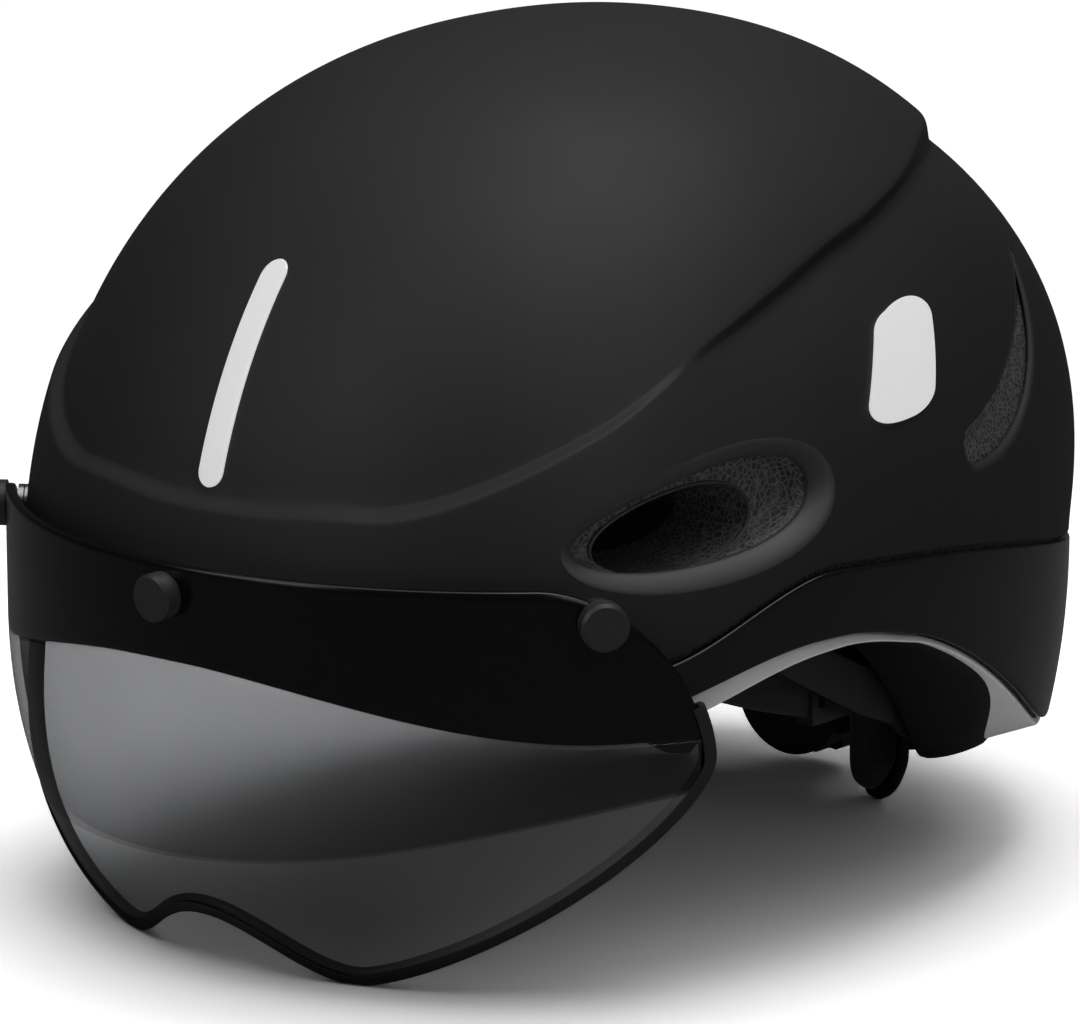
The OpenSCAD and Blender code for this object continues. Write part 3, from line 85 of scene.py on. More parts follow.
# %% Form of the shell and of the head space
# w is half the width, front and back are the runs from the middle, rise and skirt the heights over and
# under the widest section, nf, nb and m say how square the form is, and lean how far the crown leans back
SHELL = dict(w=109.5, front=127.0, back=138.9, rise=125.5, skirt=146.0, nf=2.38, nb=2.15, m=2.17, lean=7.0)
HEAD = dict(w=81.0, front=99.0, back=110.0, rise=97.0, skirt=160.0, nf=2.2, nb=2.2, m=2.17, lean=0.0)
MID_Y, MID_Z, WALL = 1.0, 80.0, 1.6


def spow(v, p):
    """A power that keeps the sign."""
    return np.sign(v) * np.abs(v) ** p


def on_form(s, a, t, off=0.0):
    """Points at angles a round the head, tilts t above the widest section, and an offset, in mm."""
    a, t = np.radians(a), np.radians(t)
    front = np.cos(a) > 0
    n = np.where(front, s["nf"], s["nb"])
    run = np.where(front, s["front"], s["back"]) + off
    c, h = spow(np.cos(t), 2 / s["m"]), spow(np.sin(t), 2 / s["m"])
    x = (s["w"] + off) * spow(np.sin(a), 2 / n) * c
    y = MID_Y - run * spow(np.cos(a), 2 / n) * c + s["lean"] * np.abs(h)
    z = MID_Z + (np.where(h > 0, s["rise"], s["skirt"]) + off) * h
    return np.stack(np.broadcast_arrays(x, y, z), -1)


def share(s, z):
    """How far a height is above or below the widest section, as a share of the rise or the skirt."""
    return (z - MID_Z) / np.where(z > MID_Z, s["rise"], s["skirt"])


def tilt(s, z):
    return np.degrees(np.arcsin(spow(share(s, z), s["m"] / 2)))


def draw_in(s, z):
    """The width left at a height, as a share of the widest."""
    return (1 - np.abs(share(s, z)) ** s["m"]) ** (1 / s["m"])


print("shell", 2 * SHELL["w"], "mm wide and", SHELL["front"] + SHELL["back"], "mm long")

# %% [markdown]
# Four lines run round the shell: the crease, the seam over the gloss trim, the trim's lower edge and
# the base of the foam. Each is a height that depends on the angle from the front, so the two sides
# are mirror images. Smooth steps between a few angles draw them, where a list of heights would ripple.

# %% Lines round the shell
CREASE_BROW, CREASE_RISE, CREASE_DIP, CREASE_SAG = 111.5, 61, 4.6, 3
SEAM_BROW, SEAM_EAR, SEAM_NAPE = 77, 16.4, 22
EDGE_BROW, EDGE_TEMPLE, EDGE_EAR, EDGE_NAPE, EDGE_DIAL = 73.8, 7.8, 10.8, 45.8, 24
BASE_DROP, BASE_DROP_NAPE = 2, 8


def ease(v, v0, v1):
    """A smooth step from 0 at v0 to 1 at v1."""
    t = np.clip((v - v0) / (v1 - v0), 0, 1)
    return t * t * (3 - 2 * t)


def mix(p, q, t):
    return p + (q - p) * t


def fold(a):
    """The angle from the front, the same on both sides."""
    b = np.abs(a) % 360
    return np.where(b <= 180, b, 360 - b)


def crease_z(a):
    """Low over the brow and high at the rear."""
    f = fold(a)
    dip = CREASE_DIP * (1 - ease(f, 0, 30)) + CREASE_SAG * (ease(f, 10, 30) - ease(f, 48, 64))
    q = np.clip((f - 20) / 105, 0, 1) ** 0.75
    return CREASE_BROW - dip + CREASE_RISE * (0.5 - 0.5 * np.cos(np.pi * q))


def seam_z(a):
    """Level at the brow, a step up over the ear, then down to the nape."""
    return SEAM_BROW + SEAM_EAR * ease(fold(a), 54, 80) - SEAM_NAPE * ease(fold(a), 74, 150)


def edge_z(a):
    """Down to the temple, an arch over the ear, down to the nape and up again over the fit dial."""
    f = fold(a)
    return (EDGE_BROW - EDGE_TEMPLE * ease(f, 0, 50) + EDGE_EAR * ease(f, 50, 78)
            - EDGE_NAPE * ease(f, 80, 128) + EDGE_DIAL * ease(f, 150, 166))


def base_z(a):
    f = fold(a)
    return edge_z(a) - BASE_DROP - BASE_DROP_NAPE * (ease(f, 85, 120) - ease(f, 150, 166))


print("crease runs from", float(crease_z(np.array(0.0))), "to", float(crease_z(np.array(180.0))), "mm")

# %% [markdown]
# Between seam and crease the side panel isn't flush with the crown: it stands out at the brow, lies in
# beside the head and swells at the nape. A second helper finds the shell under a point of the side
# view, because vents are easiest to draw from the side, as the photograph shows them.

# %% Points on the side panel
BROW_OUT, SIDE_IN, NAPE_SWELL = 3, 3.4, 2.6


def panel_off(a, u):
    f = fold(a)
    return (BROW_OUT * (1 - ease(f, 38, 72)) - SIDE_IN * ease(f, 50, 85) * u * u
            + NAPE_SWELL * ease(f, 105, 140) * np.sin(np.pi * u))


def panel_pt(a, z, off=0.0):
    u = np.clip((z - seam_z(a)) / (crease_z(a) - seam_z(a)), 0, 1)
    return on_form(SHELL, a, tilt(SHELL, z), panel_off(a, u) + off)


def side_pt(p, off=0.0):
    """Points of the left side of the shell over points (y, z) of the side view."""
    s, y, z = SHELL, p[..., 0], p[..., 1]
    d = MID_Y + s["lean"] * np.abs(share(s, z)) - y
    front = d > 0
    v = np.abs(d) / (np.where(front, s["front"], s["back"]) * draw_in(s, z))
    b = np.degrees(np.arccos(np.minimum(1, v ** (np.where(front, s["nf"], s["nb"]) / 2))))
    x = panel_pt(np.where(front, b, 180 - b), z, off)[..., 0]
    return np.stack(np.broadcast_arrays(x, y, z), -1)


def flip(rows):
    """The same rows of points on the wearer's right."""
    return [np.asarray(r) * (-1, 1, 1) for r in rows]


def on_side(rows, side):
    return rows if side == "left" else flip(rows)


def unit(v):
    return v / np.linalg.norm(v, axis=1)[:, None]


print("panel lies", round(float(-panel_off(90, 1.0)), 2), "mm in beside the head")

# %% [markdown]
# Most pieces are rows of points joined into a skin. Blender could loft or bevel curves instead, but
# rows from a formula keep a wall's two faces exactly parallel. One helper closes the rows into rings
# or caps, and marks as sharp only the edges that really turn, so broad surfaces shade smoothly.

# %% Mesh helpers
MM = 0.001
FLAT = ("flat", "flat")


def smooth(me, sharp):
    me.polygons.foreach_set("use_smooth", [True] * len(me.polygons))
    me.set_sharp_from_angle(angle=math.radians(sharp))
    me.update()


def outward(me):
    """Turns every face outwards and merges points that coincide."""
    bm = bmesh.new()
    bm.from_mesh(me)
    bmesh.ops.remove_doubles(bm, verts=bm.verts, dist=1e-6)
    bmesh.ops.recalc_face_normals(bm, faces=bm.faces)
    bm.to_mesh(me)
    bm.free()


def make(name, verts, faces, sharp):
    """A mesh object from points in mm."""
    me = bpy.data.meshes.new(name)
    me.from_pydata((np.asarray(verts, float) * MM).tolist(), [], faces)
    me.validate()
    outward(me)
    smooth(me, sharp)
    return stand(name, me)


def skin(name, rows, caps=(None, None), sharp=35.0, loop=False):
    """Rows of points, each closed into a ring and joined to the next. loop joins the last row to the
    first, and caps are tips, "flat" for a flat end, or None."""
    n, m = len(rows[0]), len(rows)
    verts, faces = np.concatenate(rows), []
    for k in range(m if loop else m - 1):
        p, q = k * n, ((k + 1) % m) * n
        for i in range(n):
            j = (i + 1) % n
            faces.append((p + i, p + j, q + j, q + i))
    for end, cap in ((0, caps[0]), (m - 1, caps[1])):
        ring = [end * n + i for i in range(n)]
        if isinstance(cap, str):
            faces.append(tuple(ring))
        elif cap is not None:
            faces += [(ring[i], ring[(i + 1) % n], len(verts)) for i in range(n)]
            verts = np.concatenate([verts, [cap]])
    return make(name, verts, faces, sharp)


print("1 mm of the sketch is", MM, "m in the scene")

# %% [markdown]
# Every surface is a small recipe of procedural nodes: a colour that wanders a little, a roughness that
# wanders with it, a fine grain in the bump, and edges that are rubbed a shade lighter. Texture scales
# are in real sizes, because the coordinates are the object's own, in metres. Picture textures would
# need unwrapping, and they blur up close. The first helpers add a node and feed its sockets.

# %% Material helpers
FACTOR, FROM, TO, BLENDED = 0, 6, 7, 2


def feed(tree, n, values):
    """Feeds a node's sockets: another node's output is linked, and anything else is set as it is."""
    for key, value in values.items():
        socket = n.inputs[key]
        if isinstance(value, bpy.types.NodeSocket):
            tree.links.new(value, socket)
        else:
            socket.default_value = (*value, 1) if socket.type == "RGBA" else value


def node(tree, kind, values=(), **settings):
    n = tree.nodes.new("ShaderNode" + kind)
    for key, value in settings.items():
        setattr(n, key, value)
    feed(tree, n, dict(values))
    return n


def ramp(tree, value, low, high, out_low, out_high):
    """One range of values mapped to another."""
    limits = {"From Min": low, "From Max": high, "To Min": out_low, "To Max": out_high}
    return node(tree, "MapRange", {"Value": value, **limits}).outputs[0]


def tone(tree, factor, dark, light, blend="MIX"):
    """A blend of two colours, each of them given or another node's output."""
    sides = {FACTOR: factor, FROM: dark, TO: light}
    return node(tree, "Mix", sides, data_type="RGBA", blend_type=blend).outputs[BLENDED]


def calc(tree, operation, *values):
    return node(tree, "Math", enumerate(values), operation=operation).outputs[0]


def cloud(tree, coord, size_mm, detail=2):
    """Soft noise with clouds of about a size."""
    grain = {"Vector": coord, "Scale": 1000.0 / size_mm, "Detail": detail}
    return node(tree, "TexNoise", grain).outputs["Fac"]


def start(name):
    """A new material, its nodes, its shader and the object's own coordinates."""
    mat = bpy.data.materials.new(name)
    mat.use_nodes = True
    shader = next(n for n in mat.node_tree.nodes if n.type == "BSDF_PRINCIPLED")
    return mat, mat.node_tree, shader, node(mat.node_tree, "TexCoord").outputs["Object"]


print("a blend node's two colours are its sockets", FROM, "and", TO)

# %% [markdown]
# Most of the helmet is moulded plastic: a matt paint on the shell, a gloss trim, a polished visor band.
# They differ in colour, polish and grain, but not in kind, so one recipe with a table of looks serves
# all thirteen. Black plastic is never quite black: its colour is about two percent grey.

# %% Moulded plastic
def bump(tree, shader, height, strength, depth_mm, under=None):
    """Relief in the shading, laid over a coarser one where there is one."""
    values = {"Height": height, "Strength": strength, "Distance": depth_mm * MM}
    if under is not None:
        values["Normal"] = under
    relief = node(tree, "Bump", values).outputs["Normal"]
    feed(tree, shader, {"Normal": relief})
    return relief


def rubbed(tree, colour, lift):
    """Edges rubbed lighter, where the surface turns outwards."""
    turn = node(tree, "NewGeometry").outputs["Pointiness"]
    return tone(tree, ramp(tree, turn, 0.52, 0.62, 0.0, 1.0), colour, (lift,) * 3, "ADD")


def plastic(name, colour, rough, grain_mm, grain, depth_mm, mottle, lift, specular=0.5):
    """Moulded plastic or paint: a clouded colour, a grained skin and rubbed edges."""
    mat, tree, shader, coord = start(name)
    c = np.array(colour)
    clouded = tone(tree, cloud(tree, coord, 55), c * (1 - mottle), c * (1 + mottle))
    polish = ramp(tree, cloud(tree, coord, 16, 3), 0.3, 0.7, rough - 0.015, rough + 0.015)
    feed(tree, shader, {"Base Color": rubbed(tree, clouded, lift), "Roughness": polish,
                        "Specular IOR Level": specular})
    bump(tree, shader, cloud(tree, coord, grain_mm), grain, depth_mm)
    return mat


# Colour, roughness, the grain's size, strength and depth, mottle, lift at the edges, specular level
LOOKS = {
    "matte_shell": ((0.0180, 0.0180, 0.0186), 0.58, 0.45, 0.12, 0.01, 0.03, 0.002, 0.3),
    "gloss_trim": ((0.010, 0.010, 0.011), 0.13, 1.2, 0.05, 0.01, 0.1, 0.01),
    "grey_underside": ((0.84, 0.84, 0.845), 0.42, 0.8, 0.2, 0.02, 0.06, 0.02),
    "vent_plastic": ((0.042, 0.042, 0.043), 0.5, 0.6, 0.2, 0.02, 0.1, 0.008),
    "cradle_plastic": ((0.016, 0.016, 0.017), 0.42, 0.5, 0.25, 0.02, 0.12, 0.01),
    "dial_plastic": ((0.014, 0.014, 0.015), 0.4, 0.4, 0.3, 0.03, 0.12, 0.012),
    "gear_plastic": ((0.42, 0.42, 0.40), 0.45, 0.6, 0.2, 0.02, 0.06, 0.02),
    "wing_gloss": ((0.012, 0.012, 0.013), 0.2, 1.0, 0.08, 0.01, 0.1, 0.012),
    "strap_plastic": ((0.018, 0.018, 0.019), 0.3, 0.7, 0.15, 0.02, 0.1, 0.012),
    "button_red": ((0.32, 0.03, 0.025), 0.35, 0.7, 0.15, 0.02, 0.08, 0.02),
    "cap_plastic": ((0.028, 0.028, 0.030), 0.38, 0.5, 0.2, 0.02, 0.1, 0.01),
    "soft_trim": ((0.016, 0.016, 0.017), 0.5, 0.35, 0.35, 0.03, 0.12, 0.008),
    "band_plastic": ((0.0035, 0.0035, 0.0040), 0.2, 1.5, 0.04, 0.01, 0.12, 0.003, 0.4),
}
MAT = {name: plastic(name, *look) for name, look in LOOKS.items()}
print(len(MAT), "moulded finishes")

# %% [markdown]
# The foam shows its beads: moulded foam is a crowd of fused grains, about one and a half
# millimetres across, each with its own tone and a fine pale ridge where it meets the next. Modelled
# beads would be millions of faces, so a cell texture draws them in the colour and in the relief.

# %% Foam with fused beads
BEAD_MM = 1.45


def foam(name, colour):
    mat, tree, shader, coord = start(name)
    c, beads = np.array(colour), {"Vector": coord, "Scale": 1000 / BEAD_MM}
    own = node(tree, "TexVoronoi", beads).outputs["Color"]
    grey = node(tree, "SeparateColor", {0: own}).outputs[0]
    apart = node(tree, "TexVoronoi", beads, feature="DISTANCE_TO_EDGE").outputs["Distance"]
    ridge = ramp(tree, apart, 0.02, 0.16, 1.0, 0.0)
    bead = tone(tree, grey, c * 0.55, c * 1.1)
    feed(tree, shader, {"Base Color": tone(tree, ridge, bead, c * 2.6), "Roughness": 0.55})
    swell = bump(tree, shader, ramp(tree, apart, 0.0, 0.25, 1.0, 0.0), 0.6, 0.2)
    bump(tree, shader, cloud(tree, coord, 0.5), 0.2, 0.03, swell)
    return mat


MAT["foam"] = foam("foam", (0.055, 0.055, 0.057))
print("foam of beads", BEAD_MM, "mm across")

# %% [markdown]
# Reflective film sends light back to where it came from, so beside black paint it looks bright from
# the camera's side even in soft light. A mirror would show the dark room instead. A pale film with a
# painted glow standing in for that light, and a faint honeycomb of cells, comes closer. The magnets
# and pins are ground steel: fine scratches along one direction, and a polish that wanders with them.

# %% Reflective film and steel
CELL_MM, SCRATCH_MM = 2.2, 0.25


def film(name):
    mat, tree, shader, coord = start(name)
    comb = {"Vector": coord, "Scale": 1000 / CELL_MM, "Randomness": 0.15}
    apart = node(tree, "TexVoronoi", comb, feature="DISTANCE_TO_EDGE").outputs["Distance"]
    line = ramp(tree, apart, 0.0, 0.06, 0.0, 1.0)
    polish = ramp(tree, cloud(tree, coord, 6, 4), 0.3, 0.7, 0.3, 0.42)
    # the emission is a painted glow that stands in for the light the film sends back
    feed(tree, shader, {"Base Color": tone(tree, line, (0.60, 0.60, 0.60), (0.63, 0.63, 0.635)),
                        "Roughness": polish, "Emission Color": (1, 1, 1), "Emission Strength": 0.45})
    bump(tree, shader, line, 0.08, 0.01)
    return mat


def metal(name, colour, rough):
    mat, tree, shader, coord = start(name)
    long = node(tree, "Mapping", {"Vector": coord, "Scale": (1.0, 1.0, 0.06)}).outputs[0]
    lines = cloud(tree, long, SCRATCH_MM, 3)
    c = np.array(colour)
    feed(tree, shader, {"Base Color": tone(tree, lines, c * 0.85, c * 1.1), "Metallic": 1.0,
                        "Roughness": ramp(tree, lines, 0.3, 0.7, rough - 0.06, rough + 0.08)})
    bump(tree, shader, lines, 0.15, 0.01)
    return mat


MAT["reflector"] = film("reflector")
MAT["magnet_steel"] = metal("magnet_steel", (0.45, 0.45, 0.47), 0.28)
MAT["pin_steel"] = metal("pin_steel", (0.5, 0.5, 0.52), 0.25)
print("film cells of", CELL_MM, "mm and scratches of", SCRATCH_MM, "mm")

# %% [markdown]
# Cloth is woven or knitted, and that shows up close. Webbing has a herringbone of fine ribs, which has
# to follow the strap, so it is drawn from the ribbon's own length and width. The pads' knit is a field
# of small loops that follows the surface in three directions, so it needs no unwrapping.

# %% Webbing and knitted cover
RIB_TURN, HERRING_MM, LOOP_MM = 52, 3.75, 1.1


def weave(name, colour):
    mat, tree, shader, coord = start(name)
    uv = node(tree, "TexCoord").outputs["UV"]
    ribs = []
    for turn in (RIB_TURN, -RIB_TURN):
        turned = node(tree, "Mapping", {"Rotation": (0, 0, math.radians(turn)), "Vector": uv})
        wave = {"Scale": 0.48, "Distortion": 0.5, "Detail Scale": 3.0, "Vector": turned.outputs[0]}
        ribs.append(node(tree, "TexWave", wave).outputs["Fac"])
    width = node(tree, "SeparateXYZ", {0: uv}).outputs[1]
    lane = ramp(tree, calc(tree, "PINGPONG", width, HERRING_MM), 1.7, 2.05, 0.0, 1.0)
    herring = node(tree, "Mix", {0: lane, 2: ribs[0], 3: ribs[1]}).outputs[0]
    c = np.array(colour)
    feed(tree, shader, {"Base Color": tone(tree, herring, c * 0.7, c * 1.25), "Roughness": 0.62,
                        "Sheen Weight": 0.15, "Sheen Roughness": 0.4})
    rib = bump(tree, shader, herring, 0.8, 0.22)
    bump(tree, shader, cloud(tree, coord, 0.3), 0.25, 0.04, rib)
    return mat


def knit(name, colour):
    mat, tree, shader, coord = start(name)
    loops = {"Vector": coord, "Scale": 1000 / LOOP_MM, "Randomness": 0.35}
    apart = node(tree, "TexVoronoi", loops).outputs["Distance"]
    dots = ramp(tree, apart, 0.1, 0.55, 0.0, 1.0)
    c = np.array(colour)
    feed(tree, shader, {"Base Color": tone(tree, dots, c * 1.35, c * 0.6), "Roughness": 0.85,
                        "Sheen Weight": 0.25, "Sheen Roughness": 0.45})
    loop = bump(tree, shader, ramp(tree, apart, 0.0, 0.6, 1.0, 0.0), 0.5, 0.12)
    bump(tree, shader, cloud(tree, coord, 14, 3), 0.3, 0.5, loop)
    return mat


MAT["webbing"] = weave("webbing", (0.016, 0.016, 0.017))
MAT["pad_fabric"] = knit("pad_fabric", (0.022, 0.022, 0.0235))
print("herringbone lanes of", HERRING_MM, "mm and knitted loops of", LOOP_MM, "mm")

# %% [markdown]
# The visor's sheet is see-through with two tints: smoke above a long shallow arc, and a light tint
# below it. Glass in a solid would bend and lose light in a thin sheet, so each layer just multiplies
# what is behind it, and where the curved sheet is crossed twice it looks darker. Its gloss is a
# mirror that grows at glancing angles. Light that crosses the sheet on its way to the floor is dimmed
# more than the eye sees it, and a faint painted reflection glows over the light tint, most where the
# sheet turns to the side. The two tints meet at a height that the sheet carries in its own coordinates.

# %% Smoke lens
CLEAR_TINT, SMOKE_TINT, SHADOW_TINT = (0.58, 0.585, 0.59), (0.42, 0.423, 0.428), (0.2, 0.2, 0.2)
TINT_BLUR = 0.25


def see_through(tree, coord, over_line):
    """The tint of each layer, darker for light on its way to the floor."""
    edge = ramp(tree, over_line, -TINT_BLUR, TINT_BLUR, 0.0, 1.0)
    haze = ramp(tree, cloud(tree, coord, 60), 0.3, 0.7, 0.96, 1.03)
    shade = tone(tree, 1.0, tone(tree, edge, CLEAR_TINT, SMOKE_TINT), haze, "MULTIPLY")
    on_the_way = node(tree, "LightPath").outputs["Is Shadow Ray"]
    deep = tone(tree, on_the_way, shade, SHADOW_TINT)
    return node(tree, "BsdfTransparent", {"Color": deep}).outputs[0]


def smoke(name):
    mat, tree, shader, coord = start(name)
    tree.nodes.remove(shader)
    place_on_sheet = node(tree, "UVMap", uv_map="tint").outputs[0]
    turn, over_line = node(tree, "SeparateXYZ", {0: place_on_sheet}).outputs[:2]
    wear = {"Strength": 0.02, "Distance": 0.2 * MM, "Height": cloud(tree, coord, 30, 1)}
    gloss = node(tree, "BsdfGlossy", {"Roughness": 0.03, "Normal": node(tree, "Bump", wear).outputs[0]})
    glancing = node(tree, "LayerWeight", {"Blend": 0.5}).outputs["Facing"]
    mirror = ramp(tree, calc(tree, "POWER", glancing, 5.0), 0.0, 1.0, 0.03, 0.6)
    sheet = node(tree, "MixShader", {0: mirror, 1: see_through(tree, coord, over_line), 2: gloss.outputs[0]})
    # painted reflection: a faint glow over the light tint, strongest where the sheet turns to the side
    reflection_aside = ramp(tree, calc(tree, "ABSOLUTE", turn), 22, 62, 0.003, 0.020)
    below = ramp(tree, over_line, -TINT_BLUR, TINT_BLUR, 1.0, 0.12)
    painted_reflection = node(tree, "Emission", {"Strength": calc(tree, "MULTIPLY", reflection_aside, below)})
    both = node(tree, "AddShader", {0: sheet.outputs[0], 1: painted_reflection.outputs[0]})
    out = next(n for n in tree.nodes if n.type == "OUTPUT_MATERIAL")
    feed(tree, out, {"Surface": both.outputs[0]})
    return mat


MAT["smoke_lens"] = smoke("smoke_lens")
print(len(MAT), "finishes in all")

# %% [markdown]
# A piece that is ready gets the finish of its slot and its place in the assembly: which body it rides
# on, and which of the frame's own solids it takes the place of. Holes are cut with
# Blender's exact boolean, which keeps a crisp edge where two curved faces meet.

# %% Placing and cutting
def place(ob, body, slot, replaces=()):
    """Gives a piece the finish of its slot, and the body that it rides on."""
    ob.data.materials.clear()
    ob.data.materials.append(MAT[slot])
    if replaces:
        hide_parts(*replaces)
    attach(ob, body)
    return ob


def bake(ob):
    """Applies the modifiers."""
    dg = bpy.context.evaluated_depsgraph_get()
    me = bpy.data.meshes.new_from_object(ob.evaluated_get(dg))
    ob.modifiers.clear()
    ob.data = me


def cut(ob, cutters, sharp=40):
    """Takes closed cutters out of a closed piece."""
    for c in cutters:
        mod = ob.modifiers.new("cut", "BOOLEAN")
        mod.operation, mod.solver, mod.object = "DIFFERENCE", "EXACT", c
    bake(ob)
    smooth(ob.data, sharp)
    for c in cutters:
        bpy.data.objects.remove(c)


print(len(NODES), "pieces in the frame to stand for")

# %% [markdown]
# Each side vent is an oval that is fuller behind than in front, and each rear vent is a slim moon. They
# are drawn on the side view. Every outline has the same number of points at any inset, so that rings
# of it join into funnels and bevels, which a stencil cut from a picture couldn't do.

# %% Vent and crescent outlines
VENT = dict(at=(-61.2, 108.3), run=34.5, front=12.8, back=16.0)
DUCT = dict(at=(-63.5, 104.8), run=20.5, front=8.0, back=9.5)
RISE_A, EGG_POINTS, EGG_POWER = math.atan(0.17), 112, 2.15
MOON_AT, MOON_R, MOON_FROM, MOON_TO = np.array([17.8, 175.8]), 65.0, -84.0, -25.0
MOON_HALF, MOON_TIP, MOON_LONG = 7.6, 0.35, 70.0


def egg(v, inset=0.0):
    b = np.linspace(0, 2 * np.pi, EGG_POINTS, endpoint=False)
    u = spow(np.cos(b), 2 / EGG_POWER)
    half = mix(v["front"], v["back"], (u + 1) / 2) - inset
    run, rise = (v["run"] - inset) * u, half * spow(np.sin(b), 2 / EGG_POWER)
    c, s = math.cos(RISE_A), math.sin(RISE_A)
    return np.column_stack([v["at"][0] + run * c - rise * s, v["at"][1] + run * s + rise * c])


def crescent(inset=0.0, n=56, tip=10):
    """The rear vent: a slim moon along an arc, with a rounded lower end."""
    def half(t):
        return np.maximum(MOON_TIP, MOON_HALF * np.sin(np.radians(mix(48.0, 175.0, t))) ** 0.85 - inset)

    def at(t, side):
        b = np.radians(mix(MOON_FROM, MOON_TO, t))
        r = MOON_R + side * half(t)
        return MOON_AT + np.stack([r * np.cos(b), r * np.sin(b)], 1)

    trim = inset / MOON_LONG
    t = np.linspace(trim, 1 - trim, n)
    b0 = math.radians(MOON_FROM + trim * (MOON_TO - MOON_FROM))
    radial, back = np.array([math.cos(b0), math.sin(b0)]), np.array([math.sin(b0), -math.cos(b0)])
    s = np.radians(np.linspace(180, 0, tip + 2)[1:-1])[:, None]
    h = float(half(np.array(trim)))
    cap = MOON_AT + MOON_R * radial + h * np.cos(s) * radial + 0.75 * h * np.sin(s) * back
    return np.concatenate([at(t, 1), at(t[::-1], -1), cap])


def both_cutters(outline, x0, x1):
    """Cutters straight across the helmet, one on each side."""
    cutters = []
    for name, ends in (("cut_l", (x0, x1)), ("cut_r", (-x1, -x0))):
        rows = [np.column_stack([np.full(len(outline), x), outline]) for x in ends]
        cutters.append(skin(name, rows, caps=FLAT))
    return cutters


print("vent outline of", len(egg(VENT)), "points, crescent of", len(crescent()))

# %% [markdown]
# The outer shell is one thin moulded skin. Below its crease the brow stands out and the side lies in,
# so the crease reads as a soft step at the front and as an undercut further back. It is laid up as
# rings from the seam to the crown, outside and inside, joined by a rounded edge, and the vents are
# then cut through it.

# %% Outer shell
AROUND = np.linspace(0, 360, 288, endpoint=False)
LAST_RING = 0.985
SEAM_GAP, EDGE_R = 0.5, 0.7


def edge_turn(r, steps=5):
    """(height, offset) pairs round an outer edge of radius r, from the underside to the face."""
    q = np.radians(np.linspace(0, 90, steps))
    return [(r * (1 - math.cos(b)), -r * (1 - math.sin(b))) for b in q]


def side_rows(off, steps, low=SEAM_GAP):
    return [panel_pt(AROUND, mix(seam_z(AROUND) + low, crease_z(AROUND), u), off)
            for u in np.linspace(0, 1, steps)]


def lip_tilt():
    """How far up the step at the crease reaches, in degrees: a broad ledge in front, a tight groove
    beside the head, and a broad undercut at the rear."""
    return mix(1.9, 1.3, ease(fold(AROUND), 30, 75)) + 2.0 * ease(fold(AROUND), 100, 130)


def lip_rows(off, steps=12):
    rows = []
    for w in np.linspace(0, 1, steps + 1)[1:]:
        step = panel_off(AROUND, 1.0) * (1 - ease(w, 0, 1))
        rows.append(on_form(SHELL, AROUND, tilt(SHELL, crease_z(AROUND)) + lip_tilt() * w, step + off))
    return rows


def crown_rows(off, steps):
    t0 = tilt(SHELL, crease_z(AROUND)) + lip_tilt()
    return [on_form(SHELL, AROUND, mix(t0, 90, v), off) for v in np.linspace(0, LAST_RING, steps)[1:]]


def crown_tip(s, off):
    return (0.0, MID_Y + s["lean"], MID_Z + s["rise"] + off)


edge = [panel_pt(AROUND, seam_z(AROUND) + SEAM_GAP + h, o) for h, o in edge_turn(EDGE_R)]
outer = edge[:-1] + side_rows(0, 34, SEAM_GAP + EDGE_R) + lip_rows(0) + crown_rows(0, 56)
inner = side_rows(-WALL, 24) + lip_rows(-WALL) + crown_rows(-WALL, 40)
shell = skin("outer_shell_skin", inner[::-1] + outer, caps=(crown_tip(SHELL, -WALL), crown_tip(SHELL, 0)))
cut(shell, both_cutters(egg(VENT, 0.1), 60, 140) + both_cutters(crescent(0.1), 30, 140))
place(shell, "helmet", "matte_shell", replaces=("outer_shell",))
print("shell faces", len(shell.data.polygons))

# %% [markdown]
# The gloss trim is a second moulding under the seam. Its lower edge dips at the temple, arches over
# the ear, drops behind it and rises again over the fit dial. It is a closed section that follows
# those lines, with a broad turn below and a fine one at the seam.

# %% Lower trim
TRIM_OUT, TRIM_LOW_R, TRIM_TOP_R = 0.3, 0.9, 0.5


def trim_rows(low, high, off, shares):
    """Rows from a height over the trim's lower edge to a height under the seam."""
    return [panel_pt(AROUND, mix(edge_z(AROUND) + low, seam_z(AROUND) - high, v), off) for v in shares]


face = trim_rows(TRIM_LOW_R, SEAM_GAP + TRIM_TOP_R, TRIM_OUT, np.linspace(0, 1, 14))
low_turn = [panel_pt(AROUND, edge_z(AROUND) + h, TRIM_OUT + o) for h, o in edge_turn(TRIM_LOW_R)][:-1]
top_turn = [panel_pt(AROUND, seam_z(AROUND) - SEAM_GAP - h, TRIM_OUT + o) for h, o in edge_turn(TRIM_TOP_R)]
rear = trim_rows(0, SEAM_GAP, -WALL, np.linspace(1, 0, 8))
trim = skin("lower_trim_skin", low_turn + face + top_turn[:-1][::-1] + rear, loop=True, sharp=50)
place(trim, "helmet", "gloss_trim", replaces=("lower_trim",))
print("trim faces", len(trim.data.polygons))

# %% [markdown]
# A light grey ring under the trim closes the gap between it and the head space. In front it hangs out
# below the trim as a pale line. Beside and behind the ear a soft black roll covers its inner part, so
# that only its outer band shows. Further forward the roll sinks into the ring and doesn't show. The
# ring's corners are turned, because a sharp edge would draw a hard white line.

# %% Underside ring and roll
FOAM_GAP = 0.45
RING_HANG, RING_IN, RING_UP, RING_R = 3.4, 0.9, 0.35, 0.8
ROLL_OFF, ROLL_HIGH, ROLL_SUNK, ROLL_T = 0.15, 1.6, 0.5, 0.7


